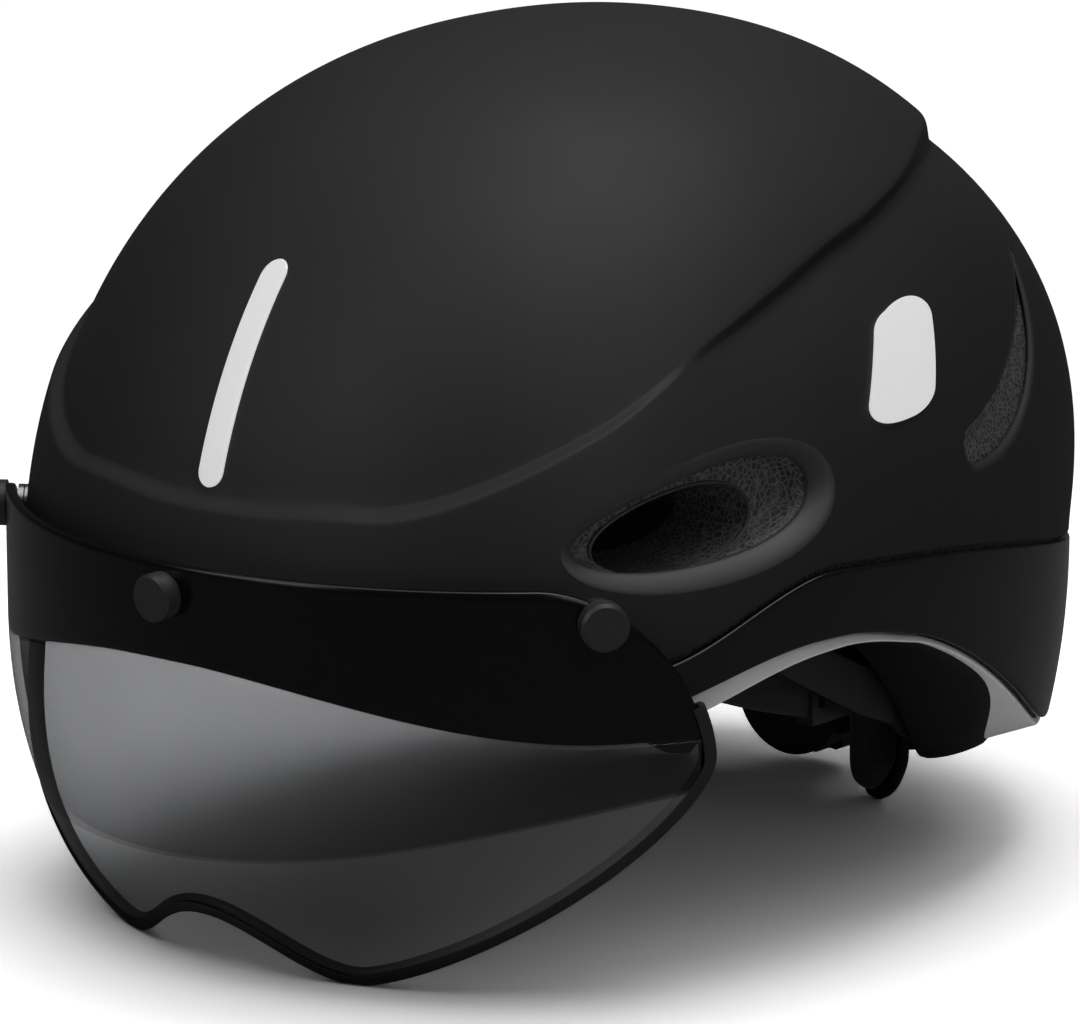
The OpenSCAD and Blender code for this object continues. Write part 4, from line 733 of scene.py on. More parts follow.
def rounded(rows, r, steps=4, fill=3):
    """A closed section from its corner rows, with each corner turned, and rows in between."""
    def toward(p, q):
        """Where the turn of corner p ends, on the way to q."""
        long = np.linalg.norm(q - p, axis=1)[:, None]
        return p + (q - p) / long * np.minimum(r, 0.45 * long)

    out, m = [], len(rows)
    for k in range(m):
        c, q = rows[k], rows[(k + 1) % m]
        s, e, after = toward(c, rows[k - 1]), toward(c, q), toward(q, c)
        out += [(1 - t) ** 2 * s + 2 * t * (1 - t) * c + t * t * e for t in np.linspace(0, 1, steps + 1)]
        out += [e * (1 - t) + after * t for t in np.linspace(0, 1, fill + 2)[1:-1]]
    return out


f = fold(AROUND)
hang = BASE_DROP + RING_HANG * (ease(f, 28, 48) - ease(f, 60, 92))
outside = panel_pt(AROUND, edge_z(AROUND) - hang, -RING_IN)
inside = on_form(HEAD, AROUND, tilt(HEAD, base_z(AROUND)))
above_outside = panel_pt(AROUND, edge_z(AROUND) - RING_UP, -WALL - FOAM_GAP)
above_inside = on_form(HEAD, AROUND, tilt(HEAD, base_z(AROUND) + 1.6))
corners = [outside, above_outside, above_inside, inside]
ring = skin("base_ring_skin", rounded(corners, RING_R, fill=6), loop=True, sharp=50)
place(ring, "helmet", "grey_underside", replaces=("base_ring",))

starts_at = 0.9 - 0.82 * ease(f, 60, 74) + 0.36 * ease(f, 100, 122)
shows = ease(f, 58, 72)[:, None]
down = unit(np.cross(np.roll(outside, -1, 0) - np.roll(outside, 1, 0), inside - outside))
down *= -np.sign(down[:, 2:])
across = np.linspace(0, 1, 14)
bed = [mix(outside, inside, mix(starts_at, 1.0, v)[:, None]) for v in across]
swell = [ROLL_OFF + math.sin(math.pi * v) ** 0.5 * ROLL_HIGH for v in across]
roll = [p + (h * shows - ROLL_SUNK * (1 - shows)) * down for p, h in zip(bed, swell)]
roll = skin("underside_roll", roll + [p - ROLL_T * down for p in bed[::-3]], loop=True, sharp=50)
place(roll, "helmet", "matte_shell")
print("ring hangs out by up to", round(float(hang.max()), 2), "mm")

# %% [markdown]
# The liner is thick expanded foam: the head space inside, the shell's form outside. Behind each side
# vent a bowl is moulded into it, and an air channel runs from the bowl to the head. Behind each rear
# vent lies a shallow recess, which shows the beads of the foam. The bowl's cutter is made of rings of
# the vent's own outline, each with its inset and its depth, so it can't drift away from the vent.

# %% Foam liner
FOAM_OFF, BOWL_DEEP, VENT_MID = -WALL - FOAM_GAP, -11.0, (-60.5, 108.1)
BOWL = [(-0.2, 5), (-0.2, -2.2), (2.4, -3.2), (3.9, -4.95), (4.25, -5.3), (4.6, -5.9), (5.0, -7.6),
        (5.6, -9.4), (6.4, -10.6), (7.4, BOWL_DEEP), (8.8, BOWL_DEEP)]
RECESS = [(-1.0, 4), (-1.0, -WALL - 0.5), (1.0, -WALL - 0.6), (2.2, -WALL - 0.7)]

head_tilt = tilt(HEAD, base_z(AROUND) + 2)
head_rows = [on_form(HEAD, AROUND, mix(head_tilt, 90, v)) for v in np.linspace(0, LAST_RING, 60)]
rows = head_rows[::-1] + trim_rows(0, SEAM_GAP, FOAM_OFF, (0, 0.33, 0.66, 1))
rows += side_rows(FOAM_OFF, 26) + lip_rows(FOAM_OFF, 5) + crown_rows(FOAM_OFF, 40)
liner = skin("foam_liner", rows, caps=(crown_tip(HEAD, 0), crown_tip(SHELL, FOAM_OFF)), sharp=40)

rows = [side_pt(egg(VENT, inset), depth) for inset, depth in BOWL]
tips = [side_pt(np.array([VENT_MID]), depth)[0] for depth in (BOWL[0][1], BOWL_DEEP)]
cutters = [skin("bowl_l", rows, caps=tips), skin("bowl_r", flip(rows), caps=flip(tips))]
cutters += both_cutters(egg(DUCT), 40, 100)
rows = [side_pt(crescent(inset), depth) for inset, depth in RECESS]
cutters += [skin("moon_l", rows, caps=FLAT), skin("moon_r", flip(rows), caps=FLAT)]
cut(liner, cutters)
place(liner, "helmet", "foam", replaces=("eps_liner",))
print("liner faces", len(liner.data.polygons))

# %% [markdown]
# The vent's cup is a soft funnel: it leaves the shell almost flush, rolls over and runs down to a
# crisp inner rim that catches the light. A thin bead also edges the air channel's mouth in the foam,
# and a bevel edges each rear vent. All three are rings of the outlines above, with an inset and a
# depth for each ring. A bevel modifier couldn't follow, because the funnel turns back under its rim.

# %% Vent cups, beads and bevels
CUP = [(0.12, 0.0), (0.5, -0.03), (0.95, -0.14), (1.4, -0.34), (1.9, -0.64), (2.4, -1.02), (2.9, -1.46),
       (3.4, -1.96), (3.85, -2.48), (4.2, -2.95), (4.45, -3.4), (4.58, -3.7), (4.62, -4.0), (4.6, -4.5),
       (4.4, -4.7), (4.1, -4.55), (3.3, -3.5), (2.4, -2.6), (1.4, -1.9), (0.5, -1.6), (0.2, -1.55),
       (0.12, -0.8)]
MOON_BEVEL = [(0.12, 0.0), (0.45, -0.06), (0.85, -0.25), (1.25, -0.6), (1.6, -1.05), (1.8, -1.5),
              (1.8, -1.9), (1.5, -2.0), (0.9, -1.7), (0.2, -1.5)]
BEAD_R, BEAD_DEEP = 0.4, -10.9

cup_rows = [side_pt(egg(VENT, inset), depth) for inset, depth in CUP]
bead_rows = [side_pt(egg(DUCT, BEAD_R * math.cos(b)), BEAD_DEEP + BEAD_R * math.sin(b))
             for b in np.radians(np.arange(0, 360, 45))]
bevel_rows = [side_pt(crescent(inset), depth) for inset, depth in MOON_BEVEL]
for side in ("left", "right"):
    cup = skin("vent_funnel_" + side, on_side(cup_rows, side), loop=True, sharp=45)
    place(cup, "helmet", "vent_plastic", replaces=("vent_cup_" + side,))
    bead = skin("duct_rim_" + side, on_side(bead_rows, side), loop=True, sharp=80)
    place(bead, "helmet", "vent_plastic")
    bevel = skin("rear_vent_bevel_" + side, on_side(bevel_rows, side), loop=True, sharp=45)
    place(bevel, "helmet", "matte_shell")
print("a cup, a bead and a bevel on each side")

# %% [markdown]
# Reflective films lie on the shell: a slim bar up the middle of the brow, and a short bar on each
# side. A flat plate would cut into the curved shell, so each bar is a row of strips, every point of
# which asks the shell's formula where it lies and stands a little off it.

# %% Reflective bars
FILM, SEAT, FILM_EDGE = 0.5, 0.15, 0.35
FRONT_BAR = dict(z=136.4, long=48.5, wide=7.2)
SIDE_BAR = dict(a=91, z=135.0, long=26, wide=11, slant=0.2, turn=4.2)


def bar_rows(point, length, width, steps=72, across=10):
    rows, r = [], width / 2
    for b in np.linspace(0, np.pi, steps + 1):
        d = -length / 2 * math.cos(b)
        past = max(0.0, abs(d) - (length / 2 - r))
        w = math.sqrt(max(0.02, r * r - past * past))
        x = np.linspace(-1, 1, across + 1) * w
        top = SEAT + FILM - 0.25 * FILM * np.clip((np.abs(x) - (w - FILM_EDGE)) / FILM_EDGE, 0, 1) ** 2
        rows.append(np.concatenate([point(x, d, top), point(x[::-1], d, np.full(across + 1, SEAT))]))
    return rows


def front_pt(x, d, off):
    """A point of the brow, d above the middle of the bar."""
    s, z = SHELL, FRONT_BAR["z"] + d
    c = draw_in(s, z)
    y = MID_Y - (s["front"] + off) * c * (1 - (np.abs(x) / (s["w"] * c)) ** s["nf"]) ** (1 / s["nf"])
    return np.stack(np.broadcast_arrays(x, y + s["lean"] * abs((z - MID_Z) / s["rise"]), z), -1)


def side_bar_pt(x, d, off):
    a = SIDE_BAR["a"] + SIDE_BAR["slant"] * d + SIDE_BAR["turn"] * x / (SIDE_BAR["wide"] / 2)
    return panel_pt(a, SIDE_BAR["z"] + d, off + 0.1)


rows = bar_rows(front_pt, FRONT_BAR["long"], FRONT_BAR["wide"])
place(skin("front_bar", rows, caps=FLAT, sharp=60), "helmet", "reflector", replaces=("front_stripe",))
rows = bar_rows(side_bar_pt, SIDE_BAR["long"], SIDE_BAR["wide"])
for side in ("left", "right"):
    bar = skin("side_bar_" + side, on_side(rows, side), caps=FLAT, sharp=60)
    place(bar, "helmet", "reflector", replaces=("side_film_" + side,))
print("three bars of film")

# %% [markdown]
# The visor is one sheet bent round the face: nearly a cylinder, drawn in towards its lower edge. Its
# upper band is opaque and the rest is see-through. Points of the sheet are found from an angle and a
# height, and the outline is a height for each angle: two lobes, and an arch over the nose.

# %% Form of the visor
# Radius, growth to the sides, axis, thickness, and the draw-in under the bend
VR, FLARE, AXIS_Y, LENS, TAPER, BEND = 114.5, 3.0, 22.0, 2.4, 19.0, 68.0
# Heights at the brow and at the ends, half angle, the angles where corner and lobe begin, nose arch
TOP, SIDE, HALF, CORNER, LOBE, NOSE = 97.5, 56.0, 65.5, 45.0, 21.5, 13.3
# How square the corner and the lobe are, and how far the sheet's edge lies inside the trim
P_CORNER, P_LOBE, INSET = 1.8, 1.38, 2.45
BAND_SIDE, BAND_FRONT, BAND_TURN = 62.0, 75.0, 54
TINT_LOW, TINT_RISE, TINT_MID_A, TINT_RUN_A = 23.65, 31.65, 36.24, 35.34


def visor_pt(a, z, off=0.0):
    b = np.radians(a)
    r = VR + FLARE * np.sin(b) ** 2 - TAPER * (np.maximum(0, BEND - z) / BEND) ** 2.2 + off
    return np.stack(np.broadcast_arrays(r * np.sin(b), -AXIS_Y - r * np.cos(b), z), -1)


def as_angle(d):
    return d / VR * 180 / math.pi


def visor_top(a, inset):
    u = np.maximum(0, np.abs(a) - CORNER) / (HALF - as_angle(inset) - CORNER)
    return SIDE + (TOP - SIDE) * np.maximum(0, 1 - u ** P_CORNER) ** (1 / P_CORNER)


def visor_low(a, inset):
    half, f = HALF - as_angle(inset), np.abs(a)
    u = np.clip((f - LOBE) / (half - LOBE), 0, 1)
    return np.where(f < LOBE, inset + NOSE * (0.5 + 0.5 * np.cos(np.pi * f / LOBE)),
                    mix(inset, SIDE, 1 - (1 - u ** P_LOBE) ** (1 / P_LOBE)))


def band_low(a):
    bend = 0.5 + 0.5 * np.cos(np.pi * np.minimum(1, np.abs(a) / BAND_TURN))
    return mix(BAND_SIDE, BAND_FRONT, bend)


def tint_z(a):
    """Height of the line between the two tints."""
    return TINT_LOW + TINT_RISE * 0.5 * (1 + np.tanh((a - TINT_MID_A) / TINT_RUN_A))


print("visor spans", 2 * HALF, "degrees, and is", TOP, "mm high at the brow")

# %% [markdown]
# Band and lens are the same sheet between different heights, so one helper makes both: columns of
# points, closer together at the ends where the outline turns fast. The lens also carries a map of its
# own: for each point the angle, and the height over the line between the tints. The finish reads
# both, so the line stays sharp at any distance.

# %% Visor band and lens
SHEET_R = 0.4
END = HALF - as_angle(INSET) - 0.8
COLS = END * np.sin(np.radians(90 * np.linspace(-1, 1, 161)))


def sheet(name, low, high, steps):
    """A sheet between two heights, with rounded upper and lower edges."""
    def edge(v, q0):
        return [(v, -LENS / 2 * (1 - math.cos(q)), SHEET_R * math.sin(q))
                for q in np.radians(np.linspace(q0, q0 + 180, 7))[1:-1]]

    up = [(v, 0.0, 0.0) for v in np.linspace(0, 1, steps)]
    down = [(v, -LENS, 0.0) for v in np.linspace(1, 0, steps)]
    v, depth, past = np.array(up + edge(1.0, 0) + down + edge(0.0, 180)).T
    rows = []
    for a in COLS:
        z = mix(float(low(a)) + SHEET_R, float(high(a)) - SHEET_R, v) + past
        rows.append(visor_pt(np.full(len(v), a), z, depth))
    return skin(name, rows, caps=FLAT, sharp=60)


def map_tint(me):
    """Writes each corner's angle and its height over the tints' line."""
    co, corner = np.zeros(len(me.vertices) * 3), np.zeros(len(me.loops), int)
    me.vertices.foreach_get("co", co)
    me.loops.foreach_get("vertex_index", corner)
    x, y, z = co.reshape(-1, 3).T * 1000
    ang = np.degrees(np.arctan2(x, -AXIS_Y - y))
    uv = np.column_stack([ang, z - tint_z(ang)])[corner]
    me.uv_layers.new(name="tint").data.foreach_set("uv", uv.ravel())


band = sheet("visor_band_sheet", band_low, lambda a: visor_top(a, INSET), 18)
place(band, "visor", "band_plastic", replaces=("visor_band",))
lens = sheet("visor_lens_sheet", lambda a: visor_low(a, INSET), lambda a: band_low(a) - 0.15, 60)
map_tint(lens.data)
place(lens, "visor", "smoke_lens", replaces=("visor_lens",))
print("visor sheet in", len(COLS), "columns")

# %% [markdown]
# The trim's section is a soft U that grips the sheet's edge. It follows the outline: down the end,
# round the lobe, over the nose and back up on the other side, and it never dips below the table.
# A curve with a bevel object would twist on such a path, so each section is set up from the sheet's
# own directions: outwards from its face, and inwards from its edge.

# %% Visor trim
TRIM_T, TRIM_W, FLOOR_W, TRIM_END, TRIM_R, SECTIONS = 3.5, 3.3, 1.2, 70.0, 1.1, 260


def half_outline():
    q1 = math.degrees(math.asin(((TRIM_END - SIDE) / (TOP - SIDE)) ** (P_CORNER / 2)))
    q = np.radians(np.linspace(q1, 0, 14))[:-1]
    end = np.column_stack([CORNER + (HALF - CORNER) * np.cos(q) ** (2 / P_CORNER),
                           SIDE + (TOP - SIDE) * np.sin(q) ** (2 / P_CORNER)])
    q = np.radians(np.linspace(90, 0, 60))[:-1]
    side = np.column_stack([LOBE + (HALF - LOBE) * np.sin(q) ** (2 / P_LOBE),
                            SIDE * (1 - np.cos(q) ** (2 / P_LOBE))])
    a = np.linspace(LOBE, 0, 42)[:-1]
    return np.concatenate([end, side, np.column_stack([a, visor_low(a, 0)])])


def even_path():
    """The whole outline in (angle, height), in even steps and smoothed a little."""
    part = half_outline()
    path = np.concatenate([part, [[0, float(visor_low(np.array(0.0), 0))]], part[::-1] * (-1, 1)])
    gap = np.concatenate([[0], np.cumsum(np.linalg.norm(np.diff(path * (2.0, 1.0), axis=0), axis=1))])
    even = np.linspace(0, gap[-1], SECTIONS)
    path = np.column_stack([np.interp(even, gap, path[:, 0]), np.interp(even, gap, path[:, 1])])
    for _ in range(3):
        path[1:-1] = 0.25 * path[:-2] + 0.5 * path[1:-1] + 0.25 * path[2:]
    return path.T


def u_section():
    """The U with its corners rounded, from the face's side outwards: (out of the face, into the sheet)."""
    h, s = TRIM_T / 2, LENS / 2 + 0.3
    wall = [(-h, 0), (-h, TRIM_W), (-s, TRIM_W), (-s, FLOOR_W)]
    corners = wall + [(-x, y) for x, y in wall[::-1]]
    return np.concatenate(rounded([np.array([p], float) for p in corners], TRIM_R, fill=0))


a, z = even_path()
mid = visor_pt(a, z, -LENS / 2)
run = unit(np.gradient(mid, axis=0))
out_of_face = unit(np.cross(visor_pt(a + 1, z) - visor_pt(a - 1, z), visor_pt(a, z + 1) - visor_pt(a, z - 1)))
into_sheet = unit(-np.cross(out_of_face, run))
section = u_section()
rows = [mid[k] + section[:, :1] * out_of_face[k] + section[:, 1:] * into_sheet[k] for k in range(SECTIONS)]
rows = [np.maximum(r, (-np.inf, -np.inf, 0)) for r in rows]
soft = skin("visor_edge_trim", rows, caps=FLAT, sharp=50)
place(soft, "visor", "soft_trim", replaces=("visor_trim",))
print("trim of", len(rows), "sections")

# %% [markdown]
# Two glossy wings stand on the table behind the wearer's ears and carry the nape pads. Each is a
# curved plate with soft edges, drawn in at both ends. Its upper and lower edge are heights along its
# length, so that the pad that lies on it can use the same two lines.

# %% Wings
NAPE_R, ARM_Y = 73.5, 23.0
WING_IN, WING_OUT, WING_TOP, WING_T, WING_END = 20.5, 44.0, 44.0, 2.2, 0.08
TOP_FALL_IN, TOP_FALL_OUT, LOW_RISE_OUT, LOW_FLAT, LOW_RISE_IN = 4, 13, 17, 1.9, 9


def nape_pt(a, off, z):
    b, r = np.radians(a), NAPE_R + off
    return np.stack(np.broadcast_arrays(r * np.sin(b), ARM_Y + r * np.cos(b), z), -1)


def wing_high(w):
    """The upper edge, from the inner end at 0 to the outer end at 1."""
    return WING_TOP - TOP_FALL_IN * (1 - w) ** 2 - TOP_FALL_OUT * w ** 3


def wing_low(w):
    """The lower edge, which rests on the table between two rising ends."""
    return np.maximum(0, LOW_RISE_OUT * w * w - LOW_FLAT + LOW_RISE_IN * np.maximum(0, 1 - w / 0.25) ** 2)


def wing_rows():
    rows, q = [], np.linspace(0, 1, 16)
    for w in np.linspace(0, 1, 72):
        past = max(0.0, abs(2 * w - 1) - (1 - WING_END)) / WING_END
        close = 1.3 * (1 - math.sqrt(max(0.0, 1 - past ** 2)))
        lo, hi, a = float(wing_low(w)) + close, float(wing_high(w)) - close, mix(WING_IN, WING_OUT, w)
        turn = np.array([-0.25, -WING_T / 2, -WING_T + 0.25])
        rows.append(np.concatenate([
            nape_pt(a, 0 * q, mix(lo + 0.7, hi - 0.7, q)),
            nape_pt(a, turn, np.array([hi - 0.2, hi, hi - 0.2])),
            nape_pt(a, 0 * q - WING_T, mix(hi - 0.7, lo + 0.7, q)),
            nape_pt(a, turn[::-1], np.array([lo + 0.2, lo, lo + 0.2]))]))
    return rows


for side in ("left", "right"):
    wing = skin("nape_wing_" + side, on_side(wing_rows(), side), caps=FLAT, sharp=60)
    place(wing, "arm_" + side, "wing_gloss", replaces=("wing_" + side,))
print("wings up to", WING_TOP, "mm high")

# %% [markdown]
# Webbing is modelled directly, as a flat woven ribbon with soft edges that follows its route through
# the divider to the buckle. A bevelled curve would be quicker, but it would lose the strap's own
# coordinates. Here its length and width are written to the ribbon in millimetres, so that the weave
# keeps its real size along every bend.

# %% Ribbons
WEB_T, WEB_STEPS = 1.4, 120


def along(points, count):
    """A smooth run of count points through a few given ones."""
    p = np.asarray(points, float)
    t = np.concatenate([[0], np.cumsum(np.linalg.norm(np.diff(p, axis=0), axis=1))])
    ext = np.concatenate([[2 * p[0] - p[1]], p, [2 * p[-1] - p[-2]]])
    out = []
    for s in np.linspace(0, t[-1], count):
        i = min(len(p) - 2, max(0, int(np.searchsorted(t, s, side="right") - 1)))
        u = (s - t[i]) / (t[i + 1] - t[i])
        a, b, c, d = ext[i:i + 4]
        out.append(0.5 * (2 * b + (c - a) * u + (2 * a - 5 * b + 4 * c - d) * u * u
                          + (3 * b - a - 3 * c + d) * u ** 3))
    return np.array(out)


def ribbon(name, route, width, side):
    path = np.array(on_side(along(route, WEB_STEPS), side))
    out = unit(np.cross(np.gradient(path, axis=0) * (1, 1, 0), (0, 0, 1.0)))
    length = np.concatenate([[0], np.cumsum(np.linalg.norm(np.diff(path, axis=0), axis=1))])
    q = np.radians(np.linspace(0, 360, 20, endpoint=False))
    high, thick = spow(np.sin(q), 0.25) * width / 2, spow(np.cos(q), 0.6) * WEB_T / 2
    rows = [p + high[:, None] * (0, 0, 1) + thick[:, None] * o for p, o in zip(path, out)]
    n, faces = len(q), []
    for k in range(WEB_STEPS - 1):
        for i in range(n):
            j = (i + 1) % n
            faces.append((k * n + i, k * n + j, (k + 1) * n + j, (k + 1) * n + i))
    faces += [tuple(end * n + i for i in range(n)) for end in (0, WEB_STEPS - 1)]
    me = bpy.data.meshes.new(name)
    me.from_pydata((np.concatenate(rows) * MM).tolist(), [], faces)
    uvs = [(length[v // n], high[v % n] + width / 2) for corners in faces for v in corners]
    me.uv_layers.new(name="woven").data.foreach_set("uv", np.array(uvs).ravel())
    outward(me)
    smooth(me, 50)
    return stand(name, me)


print("ribbons", WEB_T, "mm thick")

# %% [markdown]
# The routes are those of a real helmet. The front strap comes down before the ear and the rear strap
# behind it, both from plugs in the foam, and they meet in the divider. From there the chin strap runs
# to the buckle. The points are given as distances from the side of the head.

# %% Six straps
def beside(d, y, z):
    return (HEAD["w"] - d, y, z)


FRONT_WEB = [beside(18.1, -59.3, 74.2), beside(16.4, -56.1, 73), beside(16.1, -50, 70.2),
             beside(16.2, -40, 66.2), beside(16.4, -29, 62.2), beside(16.2, -18, 58.5),
             beside(16, -5, 54), beside(17, 8, 50), beside(19.4, 19.7, 46.5)]
REAR_WEB = [beside(18.4, 42.3, 50), beside(16.8, 47, 52), beside(14.8, 53, 55),
            beside(14.1, 57.6, 57.5), beside(15, 61.1, 59.3), beside(16.9, 65.2, 61)]
DIVIDER, BUCKLE = np.array([60.2, 42.4, 53.0]), np.array([18.4, 91.4, 54.0])
CHIN_SHARES = ((0, 0), (0.03, 0.114), (0.1, 0.298), (0.22, 0.482), (0.4, 0.676), (0.603, 0.839),
               (0.806, 0.943), (1, 1))
CHIN_WEB = [DIVIDER + (BUCKLE - DIVIDER) * (u, v, min(1, 9 * v)) for u, v in CHIN_SHARES]
WEBS = (("front", FRONT_WEB, 13.0), ("rear", REAR_WEB, 13.0), ("chin", CHIN_WEB, 15.0))
for side in ("left", "right"):
    for kind, route, width in WEBS:
        web = ribbon(kind + "_strap_" + side, route, width, side)
        place(web, "helmet", "webbing", replaces=(kind + "_webbing_" + side,))
print("six lengths of webbing")

# %% [markdown]
# The pads are foam under a knitted cover. Each starts as a thin form on its backing, which is a
# surface of the head space or of a wing: three numbers, the share of its length, the share of its
# width and the height off the backing, find any of its points. The same numbers later press its
# sewn channels, on whatever surface it lies.

# %% Where the pads lie
PAD_SEAT, BACKING = 0.9, 0.15
FOREHEAD_HALF_A, FOREHEAD_Z, FOREHEAD_HALF = 51.5, 90, 10.6


def fullness(v, power):
    """1 in the middle of a length and 0 at its ends; a higher power stays full for longer."""
    return np.sqrt(np.maximum(0, 1 - np.abs(2 * v - 1) ** power))


def forehead(v, w, h):
    z = FOREHEAD_Z + FOREHEAD_HALF * mix(0.62, 1, fullness(v, 4)) * (2 * w - 1)
    return on_form(HEAD, mix(-FOREHEAD_HALF_A, FOREHEAD_HALF_A, v), tilt(HEAD, z), -PAD_SEAT - h)


def roof_pt(x, y, off):
    """Points of the head space's roof over points (x, y)."""
    x, y = np.broadcast_arrays(np.asarray(x, float), np.asarray(y, float))
    run = np.where(y < MID_Y, HEAD["front"], HEAD["back"])
    n, m = HEAD["nf"], HEAD["m"]
    q = ((np.abs(x) / HEAD["w"]) ** n + (np.abs(y - MID_Y) / run) ** n) ** (1 / n)
    return np.stack(np.broadcast_arrays(x, y, MID_Z + (HEAD["rise"] + off) * (1 - q ** m) ** (1 / m)), -1)


def roof(x, width, y0, y1):
    """A pad under the roof, along the helmet."""
    def point(v, w, h):
        px = x - width / 2 * 0.97 * mix(0.6, 1, fullness(v, 4)) * (2 * w - 1)
        return roof_pt(px, mix(y0, y1, v), -PAD_SEAT) - np.stack(np.broadcast_arrays(0 * px, 0 * px, h), -1)
    return point


def nape(v, w, h):
    u = mix(0.06, 0.92, v)
    lo, hi = wing_low(u) + 2.7, wing_high(u) - 1.7
    return nape_pt(mix(WING_IN, WING_OUT, u), -WING_T - BACKING - h, mix(lo, hi, w))


def mirror_point(point):
    return lambda v, w, h: point(v, w, h) * (-1, 1, 1)


print("forehead pad spans", 2 * FOREHEAD_HALF_A, "degrees")

# %% [markdown]
# The form to be filled is closed: a front and a back grid of faces, and a strip along each of their
# four sides. Blender's cloth needs even faces, so the form is remeshed before it is blown up, and the
# result is applied. Real stuffing is held by its cover, so no point may move further than a limit.

# %% Pad forms and filling
SEWN, CLOTH_FRAMES = 1.2, 14
SWELL_MOST_M, VOXEL_M = 0.0011, 0.0016


def pad_form(name, point, thick, nv, nw, blown):
    """A pad over a surface: point(v, w, height) with v and w from 0 to 1, and height off its backing."""
    v, w = np.meshgrid(np.linspace(0, 1, nv), np.linspace(0, 1, nw), indexing="ij")
    lift = SEWN + (thick - SEWN) * (fullness(v, 4) * fullness(w, 6)) * (0.86 if blown else 1.0)
    verts = np.concatenate([point(v, w, lift).reshape(-1, 3), point(v, w, np.zeros_like(v)).reshape(-1, 3)])

    def at(i, j, k=0):
        return (k * nv + i) * nw + j

    faces = []
    for i in range(nv - 1):
        for j in range(nw - 1):
            faces.append((at(i, j), at(i + 1, j), at(i + 1, j + 1), at(i, j + 1)))
            faces.append((at(i, j, 1), at(i, j + 1, 1), at(i + 1, j + 1, 1), at(i + 1, j, 1)))
    last_v, last_w = nv - 1, nw - 1
    for i in range(last_v):
        faces.append((at(i, 0), at(i, 0, 1), at(i + 1, 0, 1), at(i + 1, 0)))
        faces.append((at(i, last_w), at(i + 1, last_w), at(i + 1, last_w, 1), at(i, last_w, 1)))
    for j in range(last_w):
        faces.append((at(0, j), at(0, j + 1), at(0, j + 1, 1), at(0, j, 1)))
        faces.append((at(last_v, j), at(last_v, j, 1), at(last_v, j + 1, 1), at(last_v, j + 1)))
    return make(name, verts, faces, 60)


def points_of(ob):
    return np.array([v.co for v in ob.data.vertices])


def blow_up(ob):
    """A short cloth simulation that fills the pad out."""
    remesh = ob.modifiers.new("remesh", "REMESH")
    remesh.mode, remesh.voxel_size = "VOXEL", VOXEL_M
    bake(ob)
    before = points_of(ob)
    cloth = ob.modifiers.new("cloth", "CLOTH")
    st = cloth.settings
    st.quality, st.mass = 6, 0.15
    st.use_pressure, st.uniform_pressure_force = True, 3.0
    st.tension_stiffness = st.compression_stiffness = 20.0
    st.shear_stiffness, st.bending_stiffness = 12.0, 1.2
    st.effector_weights.gravity = 0.0
    cloth.collision_settings.use_collision = False
    for f in range(1, CLOTH_FRAMES + 1):
        scene.frame_set(f)
    bake(ob)
    move = points_of(ob) - before
    length = np.linalg.norm(move, axis=1)[:, None]
    held = before + move * np.minimum(1, SWELL_MOST_M / np.maximum(length, 1e-9))
    ob.data.vertices.foreach_set("co", held.ravel())
    scene.frame_set(1)
    rounder = ob.modifiers.new("round", "SUBSURF")
    rounder.levels = rounder.render_levels = 1
    bake(ob)
    smooth(ob.data, 80)


print("cloth runs for", CLOTH_FRAMES, "frames")

# %% [markdown]
# Sewing pulls a pad down along its seams. A texture could only darken them, so the channels are
# pressed into the mesh: each point is measured against the backing, its share of the length says how
# near a seam it is, and its height is drawn in by up to about a half. The back stays flat.

# %% Sewn channels and the six pads
CHANNEL_DEEP, CHANNEL_WIDE, STEP = 0.55, 0.018, 0.01


def press(ob, point, channels, thick):
    """Presses sewn channels and keeps the back flat, in the pad's own (v, w, height) terms."""
    v, w = np.meshgrid(np.linspace(0, 1, 61), np.linspace(0, 1, 31), indexing="ij")
    base = point(v, w, np.zeros_like(v)).reshape(-1, 3)
    normal = point(v, w, np.ones_like(v)).reshape(-1, 3) - base
    flat_v, flat_w = v.ravel(), w.ravel()
    co = points_of(ob) * 1000
    for k in range(0, len(co), 512):
        block = co[k:k + 512]
        near = ((block[:, None, :] - base[None]) ** 2).sum(2).argmin(1)
        v, w, n = flat_v[near], flat_w[near], normal[near]
        h = ((block - base[near]) * n).sum(1)
        off = block - base[near] - h[:, None] * n
        after, before = np.clip(v + STEP, 0, 1), np.clip(v - STEP, 0, 1)
        du = point(after, w, np.zeros_like(v)) - point(before, w, np.zeros_like(v))
        v = v + (off * du).sum(1) / (du ** 2).sum(1) * (after - before)
        squeeze = np.ones_like(v)
        for c in channels:
            squeeze *= 1 - CHANNEL_DEEP * np.exp(-((v - c) / CHANNEL_WIDE) ** 2)
        co[k:k + 512] = block + (np.clip(h, 0.0, thick) * squeeze - h)[:, None] * n
    ob.data.vertices.foreach_set("co", (co * MM).ravel())
    ob.data.update()
    smooth(ob.data, 80)


